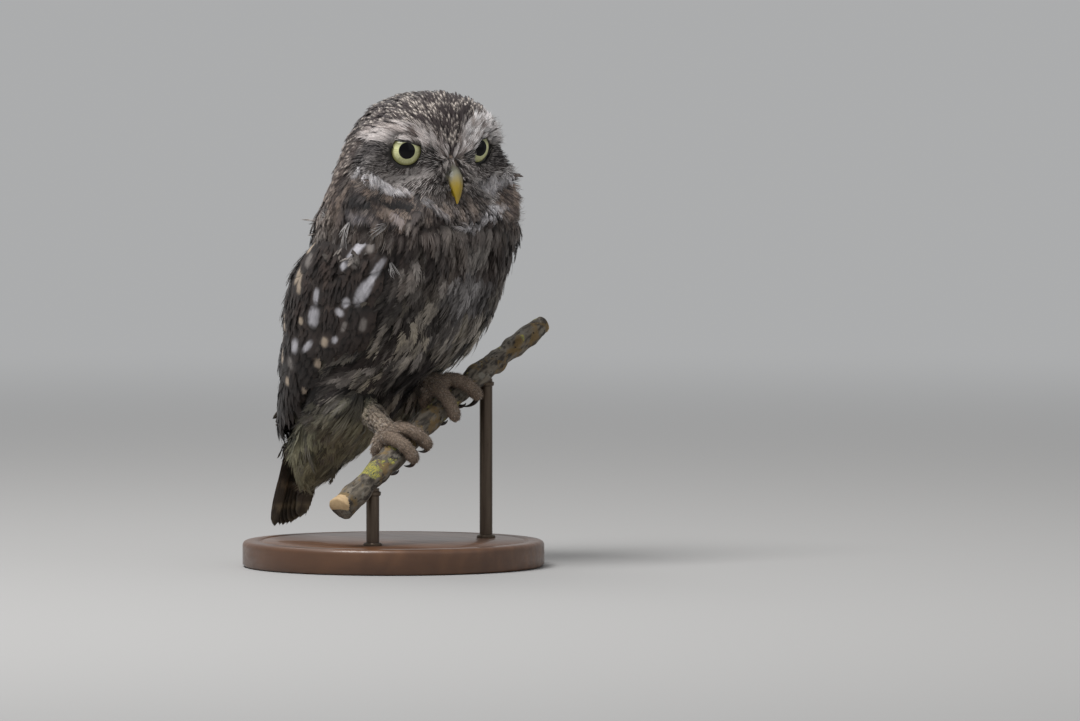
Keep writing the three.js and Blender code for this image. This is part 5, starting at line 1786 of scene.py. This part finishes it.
vane = {"rows": 34, "cols": 16, "sunk": -3.2, "curve": 0.35, "shaft": 0.14, "roll": 0.06, "fringe": 1.5,
    "patch": 0.02}
wingTones = {"dark": (34, 28, 26), "warm": (54, 43, 38), "edge": (84, 70, 60),
    "white": (172, 170, 175), "tan": (160, 145, 128), "grey": (116, 110, 106)}
wingTones = {key: paint(*tone) for key, tone in wingTones.items()}
# Spots seen on the right wing: height, angle, half length, half width, tone, and the slant across the vane
wingSpots = [
    (148.8, 122, 4.2, 1.5, "tan"), (155.2, 110, 1.6, 1.0, "tan"), (135.3, 118, 4.4, 1.5, "tan"),
    (132.2, 112, 5.0, 1.8, "tan"), (142.5, 111, 4.0, 2.6, "grey"), (141, 86, 2.9, 1.5, "white", 25),
    (148.1, 82, 7.6, 2.0, "white", 38), (142.1, 80, 2.7, 2.0, "grey"), (150.1, 74, 3.2, 1.7, "grey"),
    (129.1, 70, 7.8, 2.7, "white", 22), (137.6, 65, 8.6, 1.4, "white", 20), (126.6, 95, 4.0, 1.6, "white"),
    (116.7, 94, 5.2, 3.0, "white"), (114.5, 103, 2.0, 1.0, "tan"), (113.3, 128, 4.6, 1.5, "tan"),
    (123.7, 80, 3.2, 1.7, "white", 25), (119, 82, 2.0, 2.4, "white"), (113.6, 64, 3.6, 1.6, "grey"),
    (112.5, 77, 3.2, 0.9, "grey", 15), (102.6, 106, 3.9, 2.1, "white"), (102.5, 95, 4.6, 1.2, "white", 15),
    (97.4, 125, 4.2, 1.4, "tan"), (94.5, 109, 3.4, 2.2, "grey"), (105.1, 87, 2.8, 1.8, "tan"),
    (106.2, 81, 2.2, 1.0, "white"), (94.1, 88, 2.8, 2.2, "tan"), (85.4, 110, 2.2, 1.6, "tan"),
    (80.6, 91, 3.0, 0.9, "tan"), (124, 146, 3.6, 1.8, "tan"), (112, 150, 4.0, 2.0, "grey"),
    (98, 148, 3.6, 1.6, "tan"), (84, 140, 3.2, 1.4, "tan"), (73, 150, 3.0, 1.2, "tan"),
    (86, 160, 3.0, 1.2, "tan"), (142, 136, 3.6, 1.8, "tan"), (106, 138, 3.4, 1.6, "tan"),
]


def alongPlaces(places, t):
    start, middle, end = (np.array(place, float) for place in places)
    return (1 - t) * (1 - 2 * t) * start + 4 * t * (1 - t) * middle + t * (2 * t - 1) * end


def wingSettle(p, side, offset):
    height = np.clip(p[:, 2], 56, 158.5)
    front, back = between(wingRows, height, 1) - 2.5, between(wingRows, height, 2) + 1
    turn = np.clip(np.degrees(side * bodyAngle(p)), front, back)
    return bodyPoint(height, np.radians(side * turn), offset)


class Vanes:  # gathers many vanes into one mesh
    def __init__(self):
        self.points, self.faces, self.barb, self.patch = [], [], [], []
        self.tone, self.where, self.ahead = [], [], []
        self.count = 0

    def put(self, p, faces, barb, place, tone, where, ahead):
        first = sum(len(part) for part in self.points)
        self.faces += [tuple(first + i for i in face) for face in faces]
        for held, values in ((self.points, np.array(p)), (self.barb, barb), (self.tone, same(p, tone)),
                (self.patch, place + (barb - 0.5) * vane["patch"]), (self.where, where),
                (self.ahead, ahead)):
            held.append(values)

    def add(self, way, width, settle, rise, place, draw, blunt=0.42):
        rows, cols = vane["rows"], vane["cols"]
        t, s = np.meshgrid(np.linspace(0, 1, rows + 1), np.linspace(-1, 1, cols + 1), indexing="ij")
        t, s = t.ravel(), s.ravel()
        middle, ahead, out = way(t)
        across = unit(np.cross(ahead, out))
        past = np.clip((t - (1 - blunt)) / blunt, 0, 1)
        opened = mix(0.55, 1, smooth(t, 0, 0.3)) * np.sqrt(np.maximum(1 - past ** 2.6, 0))
        half = width / 2 * np.maximum(opened, 0.02)
        notch = draw.uniform(0.45, 0.9, 2)
        deepest = draw.uniform(0.0, 0.16, 2)
        for k, sign in enumerate((-1, 1)):
            bite = np.exp(-((t - notch[k]) / 0.035) ** 2) * deepest[k] * smooth(s * sign, 0.4, 1)
            half = half * (1 - bite)
        p = middle + across * (s * half)[:, None]
        camber = -vane["curve"] * s * s + vane["shaft"] * np.exp(-(s / 0.09) ** 2)
        edge = -0.25 * smooth(np.abs(s), 0.8, 1) - 0.3 * smooth(t, 0.85, 1)
        offset = rise(t) + vane["roll"] * s * half + (camber + edge) * width / 12
        q = settle(p, offset)
        barb = rowsOf(0.5 + 0.5 * s * half / (width / 2), t, 0)[:, :2]
        tone = draw.random()
        self.put(q, gridFaces(rows, cols), barb, place, tone, rowsOf(s, t, self.count), ahead)
        # Loose barbs along the rim and the tip
        spikes, spikeBarb, spikeWhere = [], [], []
        grid = q.reshape(rows + 1, cols + 1, 3)
        for side in (0, cols):
            for r in range(int(rows * 0.3), rows):
                a, b = grid[r, side], grid[r + 1, side]
                away = unit(grid[r, side] - grid[r, 1 if side == 0 else cols - 1])
                gone = unit(b - a)
                reach = vane["fringe"] * draw.uniform(0.25, 1.0)
                tip = b + (away * 0.5 + gone * 1.1) * reach
                spikes += [a, b, tip]
                spikeBarb += [barb[r * (cols + 1) + side]] * 3
                spikeWhere += [(side / cols * 2 - 1, r / rows, self.count)] * 3
        corners = [(k, k + 1, k + 2) for k in range(0, len(spikes), 3)]
        self.put(spikes, corners, np.array(spikeBarb), place, tone, np.array(spikeWhere, float),
            same(spikes, ahead[-1]))
        self.count += 1

    def mesh(self, name, shade):
        uv = {"barb": np.concatenate(self.barb), "OFBake": np.concatenate(self.patch)}
        marks = {"strand": np.concatenate(self.tone), "shade": np.column_stack([shade, np.ones(len(shade))])}
        return meshFrom(name, np.concatenate(self.points), self.faces, uv, marks)


vaneMaterial, net = newMaterial("vane", Roughness=0.58, Specular_IOR_Level=0.35, Sheen_Weight=0.1,
    Sheen_Roughness=0.4)
shadeMark = net.mark("shade", "Color")
strand = net.mark("strand")
uv = net.add("ShaderNodeUVMap", uv_map="barb").outputs[0]
lines = place(net, barbs, {"UV": uv, "Lines": 70.0, "Slant": 26.0})
coords = net.coords()
soft = grainOf(net, coords, (1.0, 1.0, 0.35), 420.0)
value = net.times(net.linear(strand, 0.3, 0.85), lines.outputs["Shade"])
value = net.times(value, net.linear(soft, 0.5, 0.75))
gray = net.add("ShaderNodeCombineColor", {0: value, 1: value, 2: value})
net.base(net.blend(1.0, shadeMark, gray, "MULTIPLY"))
net.bump(lines.outputs["Height"], 0.35, 0.00025)


def wingVanes(side):
    gathered = Vanes()
    random = np.random.default_rng(7 if side < 0 else 11)
    for level, (count, roots, tips, width, lift) in enumerate(wingTiers):
        for k in range(count):
            u = k / (count - 1)
            root = alongPlaces(roots, u)
            tip = alongPlaces(tips, u) + random.uniform(-1, 1, 2)
            top = lift + random.uniform(-0.08, 0.08) + 0.12 * (k % 2)

            def way(t):
                def at(t):
                    where = root + (tip - root) * t[:, None]
                    return bodyForm(where[:, 0], np.radians(side * where[:, 1]))
                where = root + (tip - root) * t[:, None]
                out = bodyNormal(where[:, 0], np.radians(side * where[:, 1]))
                return at(t), unit(at(t + 0.02) - at(t - 0.02)), out

            def rise(t):
                return vane["sunk"] + (top - vane["sunk"]) * np.sin(np.minimum(t * 1.35, 1) * math.pi / 2)

            place = np.array([0.03 + 0.025 * k + (0.25 if side > 0 else 0), 0.86 + 0.025 * (level % 5)])
            place[0] += 0.5 * (level // 5)
            gathered.add(way, width * random.uniform(0.95, 1.05),
                lambda p, offset: wingSettle(p, side, offset), rise, place, random)
    p = np.concatenate(gathered.points)
    where = np.concatenate(gathered.where)
    height, turn = p[:, 2], side * bodyAngle(p)
    flat = bodyForm(height, side * turn)
    offset = dot(p - flat, bodyNormal(height, side * turn))
    tints = random.random(gathered.count)
    spots = []
    for z, turnAt, long, wide, tone, *slant in wingSpots:  # each lies along the vane that is on top there
        jitter = np.zeros(2) if side < 0 else random.uniform(-2.0, 2.0, 2)
        spot = bodyForm(z + jitter[0], np.radians(side * (turnAt + jitter[1])))
        near = np.linalg.norm(flat - spot, axis=1) < 1.6
        if near.any():
            own = where[:, 2] == where[np.argmax(offset - 0.6 * np.abs(where[:, 0]) + 10 * near), 2]
            ahead = unit(p[own & (where[:, 1] > 0.75)].mean(0) - p[own & (where[:, 1] < 0.4)].mean(0))
            top = bodyNormal(np.array([z]), np.radians([side * turnAt]))[0]
            lean = math.radians(slant[0] if slant else 0) * side
            ahead = unit(ahead * math.cos(lean) + np.cross(top, ahead) * math.sin(lean))
            spots.append((spot, ahead, np.cross(top, ahead), long, wide, tone))

    def colour(p, s, t, number):
        tint = tints[np.round(number).astype(int)]
        shade = mixRows(same(p, wingTones["dark"]), wingTones["warm"],
            np.clip(0.1 + 0.6 * tint + 0.7 * (speckle(p, 5.0, 12) - 0.5), 0, 1))
        edge = smooth(np.abs(s), 0.8, 1.0) * 0.2 + smooth(t, 0.9, 1.0) * 0.15
        shade = mixRows(shade, wingTones["edge"], edge)
        shade = mixRows(shade, wingTones["dark"] * 0.6, np.exp(-(s / 0.07) ** 2) * 0.5)
        # darker near each vane's root, partly the darker bases of real feathers and partly painted shade
        # under the vanes that overlap them; also darker low on the wing
        shade = shade * (mix(0.6, 1, smooth(t, 0.25, 0.6)) * mix(0.6, 1, smooth(p[:, 2], 84, 108)))[:, None]
        for spot, ahead, across, long, wide, tone in spots:
            gone = p - spot
            down, aside = dot(gone, ahead), np.abs(dot(gone, across))
            aside = aside + 9.0 * (np.linalg.norm(gone, axis=1) > 15)
            blur = 0.3 * (speckle(p, 1.4, 14) - 0.5)
            inside = np.sqrt((down / long) ** 2 + (np.maximum(aside - 0.5, 0) / wide * 1.1) ** 2) + blur
            faint = 0.7 + 0.3 * smooth(speckle(rowsOf(aside / 0.5, down / 6, 0), 1.0, 16), 0.3, 0.6)
            shade = mixRows(shade, wingTones[tone], fade(inside, 0.5, 1.25) * faint * 0.95)
        return shade

    name = "right" if side < 0 else "left"
    mesh = gathered.mesh("wingVanes_" + name, colour(p, *where.T))
    addMark(mesh, "where", where)
    addMark(mesh, "ahead", np.concatenate(gathered.ahead))
    piece = newObject("wing_vanes_" + name, mesh)
    finished(piece, "plumage_wing", "wing_" + name, material=vaneMaterial)
    print("wing", name, gathered.count, "vanes", len(mesh.polygons))

    # Soft barbs over the vanes, in the same colours
    shown = (where[:, 1] > 0.42) & (np.abs(where[:, 0]) < 0.99)
    p, out, where, lie = scatter(piece, shown.astype(float), wingSize["spacing"], 8, ("where", "ahead"))
    clear = np.ones(len(p), bool)
    for spot, ahead, across, long, wide, tone in spots:  # the spots themselves stay bare
        gone = p + lie * wingSize["ahead"] - spot
        down, aside = dot(gone, ahead) / (long + wingSize["clear"][0]), dot(gone, across)
        clear &= down ** 2 + (aside / (wide + wingSize["clear"][1])) ** 2 > 1
    p, out, where, lie = p[clear], out[clear], where[clear], lie[clear]
    top = bodyNormal(p[:, 2], bodyAngle(p))
    out = unit(out * np.sign(dot(out, top))[:, None])
    lie = flatTo(lie, out)
    chance = chances(p)
    long = mix(*wingSize["long"], chance)
    s, t, number = where.T
    # painted shade in the gaps between groups of feathers
    shade = colour(p + lie * (long * 0.8)[:, None], s, np.minimum(t + 0.1, 1), number) * clumpAndGapShade(p)[:, None]
    data = tuftData(p, out, lie, same(p, wingSize["wide"]), long, same(p, wingSize["rise"]),
        pickKind("soft", chances(p)), shade)
    setCoat("wing_" + name, data, "plumage_wing", turn=0.14, tilt=0.05)


wingSize = {"spacing": 1.7, "long": (5.0, 8.0), "wide": 2.6, "rise": 0.5, "ahead": 3.5, "clear": (3.2, 2.2)}
for side in (-1, 1):
    wingVanes(side)

# Tail: twelve long vanes in pairs, the middle pair outermost
tailForm = {"dorsalY": 59.2, "dorsalZ": 63, "slope": 0.29, "root": 86, "tip": 16.6, "drift": -3.4,
    "width": 30, "vane": 10.2, "pairs": 6, "layer": 0.72, "steps": 4.6}


def dorsal(height):
    return tailForm["dorsalY"] + (tailForm["dorsalZ"] - height) * tailForm["slope"]


tailVanes = Vanes()
random = np.random.default_rng(3)
for pair in range(tailForm["pairs"]):
    for side in (-1, 1):
        outer = pair / (tailForm["pairs"] - 1)
        first, last = 1.4, (tailForm["width"] - tailForm["vane"]) / 2
        rootX, tipX = side * (first + 5 * outer), side * (first + (last - first) * outer)
        foot = tailForm["tip"] + tailForm["steps"] * outer ** 2 + random.uniform(0, 0.6)
        top = -0.25 - pair * tailForm["layer"] - (0.3 if side > 0 else 0)
        outWay = unit(np.array([0, 1, tailForm["slope"]]))

        def way(t):
            def at(t):
                height = tailForm["root"] + (foot - tailForm["root"]) * t
                x = rootX + (tipX - rootX) * np.sin(t * math.pi / 2) + tailForm["drift"] * t
                return rowsOf(x, dorsal(height), height)
            return at(t), unit(at(t + 0.02) - at(t - 0.02)), np.tile(outWay, (len(t), 1))

        def settle(p, offset):
            curl = 0.012 * p[:, 0] ** 2
            return p + outWay * (offset - curl)[:, None]

        place = np.array([0.9, 0.05 + 0.025 * (pair * 2 + (side > 0))])
        tailVanes.add(way, tailForm["vane"], settle, lambda t: top + 0 * t, place, random, blunt=0.2)
p = np.concatenate(tailVanes.points)
where = np.concatenate(tailVanes.where)
s, t, number = where[:, 0], where[:, 1], where[:, 2].astype(int)
tint = random.random(tailVanes.count)[number]
shade = mixRows(same(p, paint(66, 58, 46)), paint(86, 76, 62),
    np.clip(tint + speckle(p, 4.0, 21) - 0.5, 0, 1))
wave = np.abs(((p[:, 2] - 21 + 1.6 * np.abs(s) + 1.5 * (speckle(p, 3.0, 22) - 0.5)) / 10.5) % 1 - 0.5)
bars = fade(wave, 0.09, 0.16) * mix(0.5, 1, smooth(np.abs(s), 0.1, 0.5))
shade = mixRows(shade, paint(138, 124, 100), bars * 0.8)
shade = mixRows(shade, paint(128, 114, 94), smooth(t, 0.965, 0.99) * 0.6)
shade = mixRows(shade, paint(48, 38, 33), np.exp(-(s / 0.07) ** 2) * 0.5)
tailMesh = tailVanes.mesh("tailVanes", shade)
finished(newObject("tail_vanes", tailMesh), "plumage_wing", "tail", material=vaneMaterial)
print("tail", len(tailMesh.polygons))
